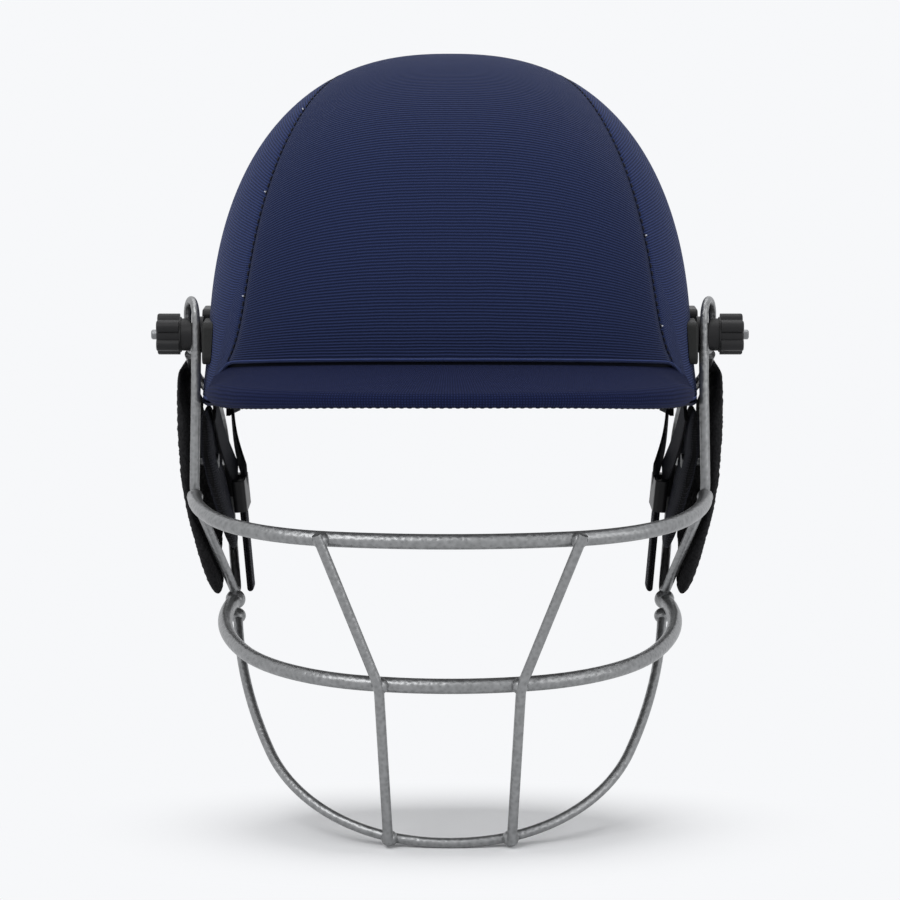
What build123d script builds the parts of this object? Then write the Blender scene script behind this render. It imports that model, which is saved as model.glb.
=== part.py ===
from build123d import *
import math
import os

"""Cricket helmet: a fabric-covered hard shell with a padded peak and a welded wire grille.

Millimetres. +Z is up, the face opening looks along -Y and +X is to the right as seen from the
front. The helmet is upright as worn and stands on the chin bar of its grille,
so the origin is the bottom centre of the whole.
Right-hand pieces, those at +X, are modelled first and mirrored to the left.
"""

os.makedirs("parts", exist_ok=True)

# Dome, measured over the fabric
shell_half_width = 99.6
shell_front_length = 100.0  # from the widest section to the brow
shell_rear_length = 143.0  # from the widest section to the nape
dome_height = 131.8  # from the widest level to the crown
skirt_depth = 48.0  # of dome below the widest level, before the rim is cut
flare_share = 0.034  # the dome widens by this share towards its rim
flare_top = 22.0  # above the widest level
flare_bottom = -22.0
crown_fullness = 2.42  # exponents of the superellipses; 2 is an ellipse
brow_fullness = 2.7
nape_fullness = 2.35
level_shares = [0.015, 0.167, 0.4, 0.62, 0.78, 0.9, 0.975]
plan_points = 16

# Layers of the shell, from the fabric inwards
fabric_thickness = 1.0
shell_wall = 2.8
foam_thickness = 11.0
pad_thickness = 5.0
layer_gap = 0.3
edging_thickness = 1.0
foam_setback = 7.0  # of the foam's edge above the rim
pad_setback = 12.0
pad_height = 46.0
brow_pad_width = 128.0
rear_pad_width = 96.0
side_pad_length = 74.0
side_pad_ahead_share = 0.42  # of the side pad's length ahead of the widest section
crown_pad_radius = 44.0

# Rim of the hard shell: distance behind the widest section, height above the widest level
rim_line = [(-130.0, 5.5), (-45.0, -7.0), (26.0, -10.0), (92.0, -26.0), (160.0, -30.0)]
rim_bend = 30.0
# Hem of its fabric: distance behind the peak's ends, height above the widest level
hem_places = [(-98.0, 23.4), (-12.0, 11.3), (-1.0, 3.5), (12.0, -17.0)]
hem_bend = 6.0

# Seams between the crown panel and the side panels, arcs in plan
seam_crown_half_width = 45.0
seam_hem_half_width = 89.5
seam_half_length = 107.0
seam_middle_setback = 28.0  # of the narrowest place behind the widest section
seam_gap = 0.4

# Peak
peak_overhang = 42.0  # of the peak's front edge ahead of the brow
peak_root_share = 0.52  # of the front length, from the widest section to the peak's ends
peak_side_inset = 2.1  # of the peak's ends from the fabric at its widest
peak_fullness = 2.3
peak_end_height = 12.0
peak_nose_end_height = 10.5
peak_middle_height = 6.0
peak_lip_rise = 3.1  # of the front edge's underside above the widest level
peak_lip_drop = 7.7  # from the front edge's middle to its ends
peak_lip_fullness = 2.8
peak_under_hem = 1.5
peak_seat = 0.3
peak_core_wall = 2.2
peak_lining = 1.0
peak_root_overlap = 3.0  # of the peak's stock into the dome before it is cut to fit
peak_top_wall = 1.1
peak_edge_margin = 3.5
peak_root_margin = 1.5
peak_layer_gap = 0.3
peak_sections = 11
peak_pocket_turn = 25.0  # from the peak's ends round to its pocket
peak_pocket_sections = 9
peak_rounding_share = 0.42

# Clamp screws that carry the grille
pivot_ahead = 28.0  # of the widest section
pivot_rise = 19.0  # above the widest level
screw_radius = 2.0
screw_head_radius = 4.2
screw_head_height = 1.8
screw_tip = 2.4
running_gap = 0.1
block_face_standoff = 2.2  # of the block's outer face from the fabric at the screw
block_length = 24.0
block_height = 17.0
block_ahead = 3.0
block_rise = -2.4
block_corner = 3.0
block_edge = 0.8
plate_length = 19.0
plate_height = 16.0
plate_thickness = 2.7
plate_setback = 22.0
plate_rise = 1.0
wedge_radius = 7.4
wedge_gap = 0.1
bush_core_radius = 4.85
bush_flange_radius = 6.6
bush_flange_edge = 0.3
washer_radius = 7.2
washer_thickness = 0.6
face_gap = 0.05
knob_length = 9.2
knob_hub_radius = 6.4
knob_lobe_radius = 2.7
knob_radius = 8.7
knob_lobes = 5
knob_edge = 0.8
knob_lip = 0.6  # of the knob's face beyond the nut
nut_across_flats = 7.0
nut_height = 3.2

# Grille wires
bar_radius = 3.0  # top and middle bars
wire_radius = 2.0  # chin bar, uprights and side frames
eye_wire_radius = 1.6
weld_gap = 0.25
weld_radius = 3.3
jaw_weld_radius = 4.2
grille_drop = 194.2  # from the screw axis down to the chin bar's lowest wire centre

# Each bar: half its width, the radius and turn of its corner arcs and of its side arcs, the turn
# of its front arc, the slope of its plane, then its front's place ahead of and below the screw axis
top_bar_sizes = (103.7, (67.3, 53.9), (125.2, 20.5), 12.5, 2.6, (99.7, 69.0))
middle_bar_sizes = (91.2, (73.2, 51.0), (138.1, 32.8), 15.7, 5.0, (89.4, 127.5))
chin_bar_sizes = (89.1, (74.2, 57.1), (255.6, 17.5), 12.0, 35.5, (72.0, grille_drop))

upright_top_span = 48.8
upright_bend_span = 26.5
upright_foot_span = 23.5
upright_end = 2.6  # beyond the top bar's centre
upright_foot_end = 1.4
upright_bend = 16.0

eye_offset = 4.9  # of the eye's middle plane from the block's face
eye_tilt = 18.0
eye_leg = 7.0  # half the distance between the eye's legs
eye_height = 6.8  # between the centres of its two ends
eye_seat = 0.3
eye_slack = 0.1
leg_start = (-7.0, -6.0)  # in the eye's plane, from the screw axis
stay_start = (4.6, -8.6)
# Bends of a side frame: behind and above the screw axis, then out of the block's face
cheek_bend = (-10.6, -65.1, 3.8)
jaw_bend = (40.0, -116.0, -10.3)
rear_bend = (101.0, -42.0, -0.6)
stay_bulge = (46.0, -23.0, 6.1)
frame_bends = (14.0, 6.0, 16.0, 60.0)

# Ear pads on the side frames of the grille: outlines are behind and above the screw axis, faces
# are given by height above the screw axis and distance out of the block's face
ear_outline = [
    (-5.0, -14.5),
    (-5.5, -62.0),
    (23.0, -112.5),
    (45.0, -112.5),
    (82.0, -58.0),
    (76.0, -30.0),
    (52.0, -14.5),
]
ear_corner = 7.0
ear_outer = [(-14.0, 13.4), (-37.0, 12.6), (-57.0, 10.4), (-78.0, 8.1), (-95.0, 4.9), (-113.0, 0.9)]
ear_inner = [
    (-14.0, 8.6),
    (-26.0, 8.6),
    (-36.0, 5.2),
    (-54.0, 4.8),
    (-70.0, 5.2),
    (-84.0, 1.6),
    (-104.0, -4.2),
    (-113.0, -6.6),
]
lining_outline = [(0.0, -41.5), (-2.0, -62.0), (17.0, -92.0), (38.0, -92.0), (46.0, -62.0), (36.0, -41.5)]
lining_outer = [(-41.0, 0.3), (-62.0, -0.5), (-84.0, -5.7), (-93.0, -8.0)]
lining_thickness = 3.6
lining_corner = 6.0
ear_rivets = [(18.0, -55.0), (26.0, -80.0)]
ear_rivet_radius = 1.6
ear_rivet_head = 3.4
ear_rivet_cap = 1.2
rivet_sunk_share = 0.5
sleeve_length = 16.0
sleeve_wall = 0.9
sleeve_share = 0.5  # of the rear stay's length, from its lower end

# Chin strap: places are behind and above the screw axis, then inside the block's face
web_width = 15.0
web_thickness = 1.4
web_gap = 0.45
web_spread = 2.0  # of each web's middle from the slider's
front_anchor = (12.0, -31.0)
rear_anchor = (80.0, -43.0)
slider_place = (46.0, -72.0, 11.9)
strap_end = (46.0, -113.0, 15.8)
slider_width = 29.0
slider_height = 13.0
slider_thickness = 5.6
slider_clearance = 0.3
tab_width = 19.0
tab_height = 17.0
tab_thickness = 1.4
tab_rivet_radius = 1.5
tab_rivet_head = 3.4
tab_rivet_cap = 1.0
tab_rivet_sink = 0.3
tab_rivet_rise = 9.5  # above the tab's lower edge

cut_overrun = 60.0
small_overrun = 1.0

# Places worked out from the sizes above
rear_reach = shell_rear_length * (1 + flare_share)
peak_reach = shell_front_length + peak_overhang
widest_y = (peak_reach - rear_reach) / 2
pivot_y = widest_y - pivot_ahead
pivot_z = grille_drop + wire_radius
widest_z = pivot_z - pivot_rise
shell_inset = fabric_thickness + layer_gap
shell_inner_inset = shell_inset + shell_wall
foam_inset = shell_inner_inset + layer_gap
foam_inner_inset = foam_inset + foam_thickness
pad_inset = foam_inner_inset + layer_gap
pad_inner_inset = pad_inset + pad_thickness
peak_root_ahead = shell_front_length * peak_root_share
peak_half_width = shell_half_width - peak_side_inset
peak_front_length = peak_reach - peak_root_ahead
hem_front = [(y - peak_root_ahead, z) for y, z in hem_places]
peak_y = widest_y - peak_root_ahead


def smooth(share):
    """Eases from 0 to 1 as the share goes from 0 to 1."""
    share = min(max(share, 0), 1)
    return share * share * (3 - 2 * share)


def mix(start, end, share):
    """The value that lies a share of the way from start to end."""
    return start + (end - start) * share


def level_size(rise, inset=0):
    """Size of the dome's section at a height above the widest level, as a share of the widest."""
    flare = 1 + flare_share * smooth((flare_top - rise) / (flare_top - flare_bottom))
    if rise <= 0:
        return flare
    height_share = min(rise / (dome_height - inset), 1)
    return flare * (1 - height_share**crown_fullness) ** (1 / crown_fullness)


def inside_dome(x, back, rise, inset):
    """Whether a point lies in the dome; back is its distance behind the widest section."""
    size = level_size(rise, inset)
    length = (shell_front_length if back < 0 else shell_rear_length) - inset
    fullness = brow_fullness if back < 0 else nape_fullness
    width_term = (abs(x) / (shell_half_width - inset)) ** fullness
    return width_term + (abs(back) / length) ** fullness <= size**fullness


def dome_distance(origin_back, direction, rise, inset):
    """Distance from a point on the middle plane out to the dome, along a direction in plan."""
    near, far = 0, 2 * shell_rear_length
    while far - near > layer_gap / 100:
        half = (near + far) / 2
        if inside_dome(direction[0] * half, origin_back + direction[1] * half, rise, inset):
            near = half
        else:
            far = half
    return near


def half_width_at(y, z, inset=0):
    """Half width of the dome at a place along it and a height."""
    back = y - widest_y
    length = (shell_front_length if back < 0 else shell_rear_length) - inset
    fullness = brow_fullness if back < 0 else nape_fullness
    size = level_size(z - widest_z, inset)
    remainder = size**fullness - (abs(back) / length) ** fullness
    return (shell_half_width - inset) * max(remainder, 0) ** (1 / fullness)


def plan_point(turn, size, inset):
    """Point of a section's superellipse at a turn in degrees from the right-hand side."""
    cosine, sine = math.cos(math.radians(turn)), math.sin(math.radians(turn))
    power = 2 / (brow_fullness if sine < 0 else nape_fullness)
    length = (shell_front_length if sine < 0 else shell_rear_length) - inset
    x = (shell_half_width - inset) * size * math.copysign(abs(cosine) ** power, cosine)
    y = length * size * math.copysign(abs(sine) ** power, sine)
    return (x, widest_y + y)


def dome(inset):
    """Solid dome whose surface lies an inset inside the fabric's; negative insets lie outside."""
    height = dome_height - inset
    rises = [-skirt_depth, flare_bottom] + [share * height for share in level_shares]
    with BuildPart() as form:
        for rise in rises:
            with BuildSketch(Plane.XY.offset(widest_z + rise)):
                with BuildLine():
                    turns = [360 * k / plan_points for k in range(plan_points)]
                    size = level_size(rise, inset)
                    Spline(*[plan_point(turn, size, inset) for turn in turns], periodic=True)
                make_face()
        loft(sections=[*form.pending_faces, Vertex(0, widest_y, widest_z + height)])
    return form.part


def below(line, bend, drop=0):
    """Everything under a rim line seen from the side, lowered by a drop."""
    with BuildPart() as form:
        with BuildSketch(Plane.YZ):
            with BuildLine():
                edge = FilletPolyline(*[(widest_y + y, widest_z + z - drop) for y, z in line], radius=bend)
                floor = widest_z - 2 * skirt_depth
                Polyline(edge @ 1, ((edge @ 1).X, floor), ((edge @ 0).X, floor), edge @ 0)
            make_face()
        extrude(amount=shell_half_width + cut_overrun, both=True)
    return form.part


def crown_strip(growth):
    """Upright prism between the two seams, widened by a growth on each side."""
    middle = seam_crown_half_width + growth
    outside = seam_hem_half_width + growth
    centre = widest_y + seam_middle_setback
    with BuildPart() as form:
        with BuildSketch(Plane.XY.offset(widest_z - skirt_depth)):
            with BuildLine():
                front, rear = centre - seam_half_length, centre + seam_half_length
                seam = ThreePointArc((outside, front), (middle, centre), (outside, rear))
                Polyline(seam @ 1, (outside, rear + cut_overrun), (0, rear + cut_overrun))
                Polyline(seam @ 0, (outside, front - cut_overrun), (0, front - cut_overrun))
                mirror(about=Plane.YZ)
            make_face()
        extrude(amount=skirt_depth + dome_height + cut_overrun)
    return form.part


def save(name, part):
    """Writes one piece under its name."""
    part.label = name
    export_step(part, f"parts/{name}.step")


def save_pair(name, part):
    """Writes a right-hand piece and its mirror image on the left."""
    save(f"right_{name}", part)
    save(f"left_{name}", mirror(part, about=Plane.YZ))


def box_between(low, high):
    """Box between two opposite corners."""
    with BuildPart() as form:
        centre = tuple((a + b) / 2 for a, b in zip(low, high))
        with Locations(centre):
            Box(*[b - a for a, b in zip(low, high)])
    return form.part


def wall_plane(y, z, inset):
    """Plane that touches the dome on the right, facing out."""
    step = layer_gap
    along = (half_width_at(y + step, z, inset) - half_width_at(y - step, z, inset)) / (2 * step)
    upward = (half_width_at(y, z + step, inset) - half_width_at(y, z - step, inset)) / (2 * step)
    return Plane(origin=(half_width_at(y, z, inset), y, z), z_dir=(1, -along, -upward))


def rod(plane, start, end, radius):
    """Round rod along a plane's normal."""
    with BuildPart() as form:
        with BuildSketch(plane.offset(start)):
            Circle(radius)
        extrude(amount=end - start)
    return form.part


def side_block(outline, corner, low, high):
    """Block seen from the side as an outline behind and above the screw axis, between two x."""
    with BuildPart() as form:
        with BuildSketch(Plane(origin=(low, pivot_y, pivot_z), x_dir=(0, 1, 0), z_dir=(1, 0, 0))):
            with BuildLine():
                FilletPolyline(*outline, radius=corner, close=True)
            make_face()
        extrude(amount=high - low)
    return form.part


def curtain(outer, inner):
    """Wall seen from the front between two profiles, long enough for any ear pad."""
    corners = [(block_face + out, pivot_z + rise) for rise, out in outer + inner[::-1]]
    with BuildPart() as form:
        with BuildSketch(Plane.XZ):
            with BuildLine():
                Polyline(*corners, close=True)
            make_face()
        extrude(amount=shell_rear_length + cut_overrun, both=True)
    return form.part


# Hard shell and its coverings
screw_plane = Plane(origin=(0, pivot_y, pivot_z), x_dir=(0, 1, 0), z_dir=(1, 0, 0))
screw_hole = screw_radius + running_gap
outer_dome = dome(0)
inner_wall_dome = dome(shell_inner_inset)
rim_cut = below(rim_line, rim_bend)

with BuildPart() as fabric:
    add(outer_dome)
    add(dome(fabric_thickness), mode=Mode.SUBTRACT)
    add(below(hem_front, hem_bend), mode=Mode.SUBTRACT)
    add(rim_cut, mode=Mode.SUBTRACT)

with BuildPart() as crown_panel:
    add(fabric.part)
    add(crown_strip(0), mode=Mode.INTERSECT)
save("cover_crown_panel", crown_panel.part)

with BuildPart() as side_panel:
    add(fabric.part)
    add(crown_strip(seam_gap), mode=Mode.SUBTRACT)
    split(bisect_by=Plane.YZ, keep=Keep.TOP)
    with BuildSketch(Plane.YZ):
        with Locations((pivot_y, pivot_z)):
            Circle(screw_hole)
    extrude(amount=shell_half_width + cut_overrun, mode=Mode.SUBTRACT)
save_pair("cover_side_panel", side_panel.part)

block_face = half_width_at(pivot_y, pivot_z) + block_face_standoff
seat_y, seat_z = pivot_y - screw_head_radius, pivot_z + screw_head_radius
screw_seat = half_width_at(seat_y, seat_z, shell_inner_inset) - layer_gap

tab_places = [
    (pivot_y + front_anchor[0], pivot_z + front_anchor[1] + web_gap),
    (pivot_y + rear_anchor[0], pivot_z + rear_anchor[1] + web_gap),
]
tab_inset = shell_inner_inset + layer_gap
rivet_planes = [wall_plane(y, z + tab_rivet_rise, tab_inset + tab_thickness) for y, z in tab_places]
rivet_end = tab_thickness + layer_gap + shell_wall - face_gap

with BuildPart() as shell:
    add(dome(shell_inset))
    add(inner_wall_dome, mode=Mode.SUBTRACT)
    add(rim_cut, mode=Mode.SUBTRACT)
    with BuildSketch(Plane.YZ):
        with Locations((pivot_y, pivot_z)):
            Circle(screw_hole)
    extrude(amount=shell_half_width + cut_overrun, both=True, mode=Mode.SUBTRACT)
    for plane in rivet_planes:
        hole = rod(plane, -tab_rivet_cap, rivet_end + small_overrun, tab_rivet_radius)
        add([hole, mirror(hole, about=Plane.YZ)], mode=Mode.SUBTRACT)
save("outer_shell", shell.part)

with BuildPart() as edging:
    add(outer_dome)
    add(inner_wall_dome, mode=Mode.SUBTRACT)
    add(below(rim_line, rim_bend, layer_gap / 2), mode=Mode.INTERSECT)
    add(below(rim_line, rim_bend, layer_gap / 2 + edging_thickness), mode=Mode.SUBTRACT)
save("rim_edging", edging.part)

# Foam liner, its comfort pads and the strap's tabs, which hang between the foam and the shell
tab_room = 2 * small_overrun
with BuildPart() as foam:
    add(dome(foam_inset))
    add(dome(foam_inner_inset), mode=Mode.SUBTRACT)
    add(below(rim_line, rim_bend, -foam_setback), mode=Mode.SUBTRACT)
    pocket_start = screw_seat - screw_head_height - layer_gap
    pocket = rod(screw_plane, pocket_start, block_face, screw_head_radius + layer_gap)
    add([pocket, mirror(pocket, about=Plane.YZ)], mode=Mode.SUBTRACT)
    for y, z in tab_places:
        depth = half_width_at(abs(y - widest_y) + tab_width / 2 + widest_y, z + tab_height, foam_inset)
        low_x = depth - tab_thickness - tab_rivet_cap - tab_room
        low = (low_x, y - tab_width / 2 - tab_room / 2, z - cut_overrun)
        high = (block_face, y + tab_width / 2 + tab_room / 2, z + tab_height + tab_room / 2)
        slot = box_between(low, high)
        add([slot, mirror(slot, about=Plane.YZ)], mode=Mode.SUBTRACT)
save("foam_liner", foam.part)

with BuildPart() as pad_layer:
    add(dome(pad_inset))
    add(dome(pad_inner_inset), mode=Mode.SUBTRACT)

pad_floor = widest_z + pad_setback
pad_top = widest_z + pad_setback + pad_height
front_end = widest_y - shell_front_length
rear_end = widest_y + shell_rear_length

with BuildPart() as brow_pad:
    add(pad_layer.part)
    brow_low, brow_high = (-brow_pad_width / 2, front_end, pad_floor), (brow_pad_width / 2, widest_y, pad_top)
    brow_box = box_between(brow_low, brow_high)
    add(brow_box, mode=Mode.INTERSECT)
save("brow_pad", brow_pad.part)

with BuildPart() as rear_pad:
    add(pad_layer.part)
    rear_low = (-rear_pad_width / 2, widest_y, pad_floor - pad_height / 2)
    add(box_between(rear_low, (rear_pad_width / 2, rear_end, pad_top - pad_height / 2)), mode=Mode.INTERSECT)
save("rear_pad", rear_pad.part)

with BuildPart() as side_pad:
    add(pad_layer.part)
    side_low = (layer_gap, widest_y - side_pad_length * side_pad_ahead_share, pad_floor)
    side_high = (shell_half_width, side_low[1] + side_pad_length, pad_top)
    add(box_between(side_low, side_high), mode=Mode.INTERSECT)
save_pair("side_pad", side_pad.part)

with BuildPart() as crown_pad:
    add(pad_layer.part)
    with BuildSketch(Plane.XY.offset(widest_z + dome_height / 2)):
        with Locations((0, widest_y)):
            Circle(crown_pad_radius)
    extrude(amount=dome_height, mode=Mode.INTERSECT)
save("crown_pad", crown_pad.part)

# Peak, lofted through upright sections that fan out round a place ahead of the widest section
hem_slope = (hem_front[1][1] - hem_front[0][1]) / (hem_front[1][0] - hem_front[0][0])


def peak_section(turn, margins, drop, thickness):
    """Corners of a peak section: margins from the dome and the front edge, then a layer of it.

    The layer starts a drop under the peak's top; without a thickness it is the whole height.
    """
    direction = (math.cos(math.radians(turn)), -math.sin(math.radians(turn)))
    width_term = (abs(direction[0]) / peak_half_width) ** peak_fullness
    outer = (width_term + (direction[1] / -peak_front_length) ** peak_fullness) ** (-1 / peak_fullness)
    share = (abs(direction[0]) * outer / peak_half_width) ** peak_lip_fullness
    root = dome_distance(-peak_root_ahead, direction, 0, shell_inset)
    hem_y = peak_y + direction[1] * root
    hem_rise = hem_front[0][1] + hem_slope * (hem_y - widest_y - hem_front[0][0])
    root_top = widest_z + hem_rise - peak_under_hem
    root_bottom = root_top - mix(peak_middle_height, peak_end_height, share)
    lip_bottom = widest_z + peak_lip_rise - peak_lip_drop * share
    lip_top = lip_bottom + mix(peak_middle_height, peak_nose_end_height, share)
    reach = outer - root
    near, far = root + margins[0], outer - margins[1]
    tops = [mix(root_top, lip_top, (place - root) / reach) for place in (near, far)]
    bottoms = [mix(root_bottom, lip_bottom, (place - root) / reach) for place in (near, far)]
    if thickness:
        layer_tops = [top - drop for top in tops]
        layer_bottoms = [top - thickness for top in layer_tops]
    else:
        layer_tops, layer_bottoms = [top - drop for top in tops], bottoms
    return Plane(origin=(0, peak_y, 0), x_dir=(*direction, 0), z_dir=(direction[1], -direction[0], 0)), [
        (near, layer_bottoms[0]),
        (far, layer_bottoms[1]),
        (far, layer_tops[1]),
        (near, layer_tops[0]),
    ]


def peak_layer(margins, drop, thickness, first_turn, count, rounding_share):
    """Lofted layer of the peak, from a first turn round to its mirror image."""
    with BuildPart() as form:
        for k in range(count):
            turn = mix(first_turn, 180 - first_turn, k / (count - 1))
            plane, corners = peak_section(turn, margins, drop, thickness)
            with BuildSketch(plane):
                with BuildLine():
                    Polyline(*corners, close=True)
                make_face()
                if rounding_share:
                    front = vertices().sort_by(Axis.X)[-2:]
                    fillet(front, (corners[2][1] - corners[1][1]) * rounding_share)
        loft()
    return form.part


no_rounding = 0
stock_margins = (-peak_root_overlap, 0)
pocket_margins = (peak_root_margin, peak_edge_margin)
layer_margins = (peak_root_margin + peak_layer_gap, peak_edge_margin + peak_layer_gap)
layer_turn = peak_pocket_turn + 1
core_drop = peak_top_wall + peak_layer_gap
lining_drop = core_drop + peak_core_wall + peak_layer_gap

with BuildPart() as peak_cover:
    add(peak_layer(stock_margins, 0, 0, 0, peak_sections, peak_rounding_share))
    add(dome(shell_inset - peak_seat), mode=Mode.SUBTRACT)
    add(below(hem_front, hem_bend, peak_under_hem - peak_seat), mode=Mode.INTERSECT)
    pocket_round = (peak_pocket_turn, peak_pocket_sections, no_rounding)
    pocket = peak_layer(pocket_margins, peak_top_wall, 2 * peak_end_height, *pocket_round)
    add(pocket, mode=Mode.SUBTRACT)
save("peak_cover", peak_cover.part)
layer_round = (layer_turn, peak_pocket_sections, no_rounding)
save("peak_core", peak_layer(layer_margins, core_drop, peak_core_wall, *layer_round))
save("peak_lining", peak_layer(layer_margins, lining_drop, peak_lining, *layer_round))

# Block and plate on each side of the shell that carry the grille
block_corners = [
    (-block_ahead - block_length / 2, block_rise - block_height / 2),
    (-block_ahead + block_length / 2, block_rise - block_height / 2),
    (-block_ahead + block_length / 2, block_rise + block_height / 2),
    (-block_ahead - block_length / 2 + block_corner, block_rise + block_height / 2),
]
seat_dome = dome(-peak_seat)

with BuildPart() as block:
    add(side_block(block_corners, block_corner, screw_seat, block_face))
    fillet(faces().sort_by(Axis.X)[-1].edges(), block_edge)
    add(seat_dome, mode=Mode.SUBTRACT)
    add(rod(screw_plane, screw_seat, block_face + small_overrun, screw_hole), mode=Mode.SUBTRACT)
save_pair("side_block", block.part)

plate_face = half_width_at(pivot_y + plate_setback, pivot_z + plate_rise) + plate_thickness
plate_corners = [
    (plate_setback - plate_length / 2, plate_rise - plate_height / 2),
    (plate_setback + plate_length / 2, plate_rise - plate_height / 2),
    (plate_setback + plate_length / 2, plate_rise + plate_height / 2),
    (plate_setback - plate_length / 2, plate_rise + plate_height / 2),
]

with BuildPart() as plate:
    add(side_block(plate_corners, block_corner, screw_seat, plate_face))
    fillet(faces().sort_by(Axis.X)[-1].edges(), block_edge)
    add(seat_dome, mode=Mode.SUBTRACT)
save_pair("anchor_plate", plate.part)

# Clamp on each screw, from the block outwards: wedge washer, the grille's eye round its bush,
# washer and knob with a nut in it
tilt_x, tilt_y = math.sin(math.radians(eye_tilt)), math.cos(math.radians(eye_tilt))
eye_plane = Plane(
    origin=(block_face + eye_offset, pivot_y, pivot_z),
    x_dir=(tilt_x, tilt_y, 0),
    z_dir=(tilt_y, -tilt_x, 0),
)
eye_half = eye_wire_radius + eye_slack
wedge_plane = eye_plane.offset(-eye_half - wedge_gap)
bush_reach = eye_half / tilt_y + bush_flange_radius * tilt_x / tilt_y + bush_flange_edge
bush_face = block_face + eye_offset + bush_reach
knob_start = bush_face + washer_thickness + 2 * face_gap
knob_end = knob_start + knob_length
screw_end = knob_end + screw_tip
clamp_length = screw_end - block_face

with BuildPart() as screw:
    add(rod(screw_plane, screw_seat - screw_head_height, screw_seat, screw_head_radius))
    fillet(faces().sort_by(Axis.X)[0].edges(), screw_head_height / 2)
    add(rod(screw_plane, screw_seat - screw_head_height / 2, screw_end, screw_radius))
    chamfer(faces().sort_by(Axis.X)[-1].edges(), screw_radius / 4)
save_pair("grille_screw", screw.part)

with BuildPart() as wedge:
    add(rod(screw_plane, block_face + wedge_gap, block_face + clamp_length, wedge_radius))
    add(rod(screw_plane, block_face, block_face + clamp_length, screw_hole), mode=Mode.SUBTRACT)
    split(bisect_by=wedge_plane, keep=Keep.BOTTOM)
save_pair("wedge_washer", wedge.part)

with BuildPart() as bush:
    add(rod(screw_plane, block_face, bush_face, bush_flange_radius))
    split(bisect_by=eye_plane.offset(eye_half), keep=Keep.TOP)
    add(rod(screw_plane, block_face, bush_face, bush_core_radius))
    split(bisect_by=eye_plane.offset(-eye_half), keep=Keep.TOP)
    add(rod(screw_plane, block_face, bush_face + small_overrun, screw_hole), mode=Mode.SUBTRACT)
save_pair("slot_bush", bush.part)

with BuildPart() as washer:
    add(rod(screw_plane, bush_face + face_gap, bush_face + face_gap + washer_thickness, washer_radius))
    add(rod(screw_plane, bush_face, knob_start, screw_hole), mode=Mode.SUBTRACT)
save_pair("washer", washer.part)

with BuildPart() as knob:
    with BuildSketch(screw_plane.offset(knob_start)):
        Circle(knob_hub_radius)
        with PolarLocations(knob_radius - knob_lobe_radius, knob_lobes):
            Circle(knob_lobe_radius)
    extrude(amount=knob_length)
    fillet(faces().sort_by(Axis.X)[-1].edges(), knob_edge)
    with BuildSketch(screw_plane.offset(knob_start)):
        Circle(screw_hole)
    extrude(amount=knob_length, mode=Mode.SUBTRACT)
    with BuildSketch(screw_plane.offset(knob_end - nut_height - knob_lip)):
        RegularPolygon(nut_across_flats / 2 + face_gap, 6, major_radius=False)
    extrude(amount=knob_length, mode=Mode.SUBTRACT)
save_pair("knob", knob.part)

with BuildPart() as nut:
    with BuildSketch(screw_plane.offset(knob_end - nut_height - knob_lip + face_gap)):
        RegularPolygon(nut_across_flats / 2, 6, major_radius=False)
        Circle(screw_radius + face_gap, mode=Mode.SUBTRACT)
    extrude(amount=nut_height)
save_pair("knob_nut", nut.part)


def bar_line(sizes):
    """Centre line of a bar from its front's middle to its right-hand end, tangent arcs in a plane."""
    half_span, corner, side, front_turn, slope, (ahead, drop) = sizes
    corner_radius, corner_turn = corner
    side_radius, side_turn = side
    first = math.radians(front_turn)
    second = first + math.radians(corner_turn)
    third = second + math.radians(side_turn)
    rest = corner_radius * (math.sin(second) - math.sin(first))
    rest += side_radius * (math.sin(third) - math.sin(second))
    front_radius = (half_span - rest) / math.sin(first)
    tilt = math.radians(slope)
    plane = Plane(
        origin=(0, pivot_y - ahead, pivot_z - drop),
        x_dir=(1, 0, 0),
        z_dir=(0, -math.sin(tilt), math.cos(tilt)),
    )
    with BuildLine(plane) as line:
        front = JernArc((0, 0), (1, 0), front_radius, front_turn)
        bend = JernArc(front @ 1, front % 1, corner_radius, corner_turn)
        JernArc(bend @ 1, bend % 1, side_radius, side_turn)
    return line.line


def wire_along(line, radius):
    """Round wire along a line."""
    with BuildPart() as form:
        with BuildSketch(Plane(origin=line @ 0, z_dir=line % 0)):
            Circle(radius)
        sweep(path=line)
    return form.part


def bar_place(line, x, stand_off):
    """Place in front of a bar where it crosses an x, and level with it."""
    low, high = 0, 1
    while high - low > layer_gap / 1000:
        half = (low + high) / 2
        if (line @ half).X < x:
            low = half
        else:
            high = half
    tangent = line % low
    outward = Vector(tangent.Y, -tangent.X, 0).normalized()
    return (line @ low) + outward * stand_off


bars = {
    "top_bar": (bar_line(top_bar_sizes), bar_radius),
    "middle_bar": (bar_line(middle_bar_sizes), bar_radius),
    "chin_bar": (bar_line(chin_bar_sizes), wire_radius),
}
bar_parts = {}
for name, (line, radius) in bars.items():
    half_bar = wire_along(line, radius)
    bar_parts[name] = half_bar + mirror(half_bar, about=Plane.YZ)
    save(name, bar_parts[name])

thick_offset = bar_radius + wire_radius + weld_gap
thin_offset = 2 * wire_radius + weld_gap
crossings = [
    (bars["top_bar"][0], upright_top_span, thick_offset),
    (bars["middle_bar"][0], upright_bend_span, thick_offset),
    (bars["chin_bar"][0], upright_foot_span, thin_offset),
]
upright_places = [bar_place(*crossing) for crossing in crossings]
upper, bend, lower = upright_places
upper_reach = upper + (upper - bend).normalized() * upright_end
lower_reach = lower + (lower - bend).normalized() * upright_foot_end
with BuildLine() as upright_line:
    FilletPolyline(upper_reach, bend, lower_reach, radius=upright_bend)
upright = wire_along(upright_line.line, wire_radius)
save_pair("upright", upright)


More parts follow.
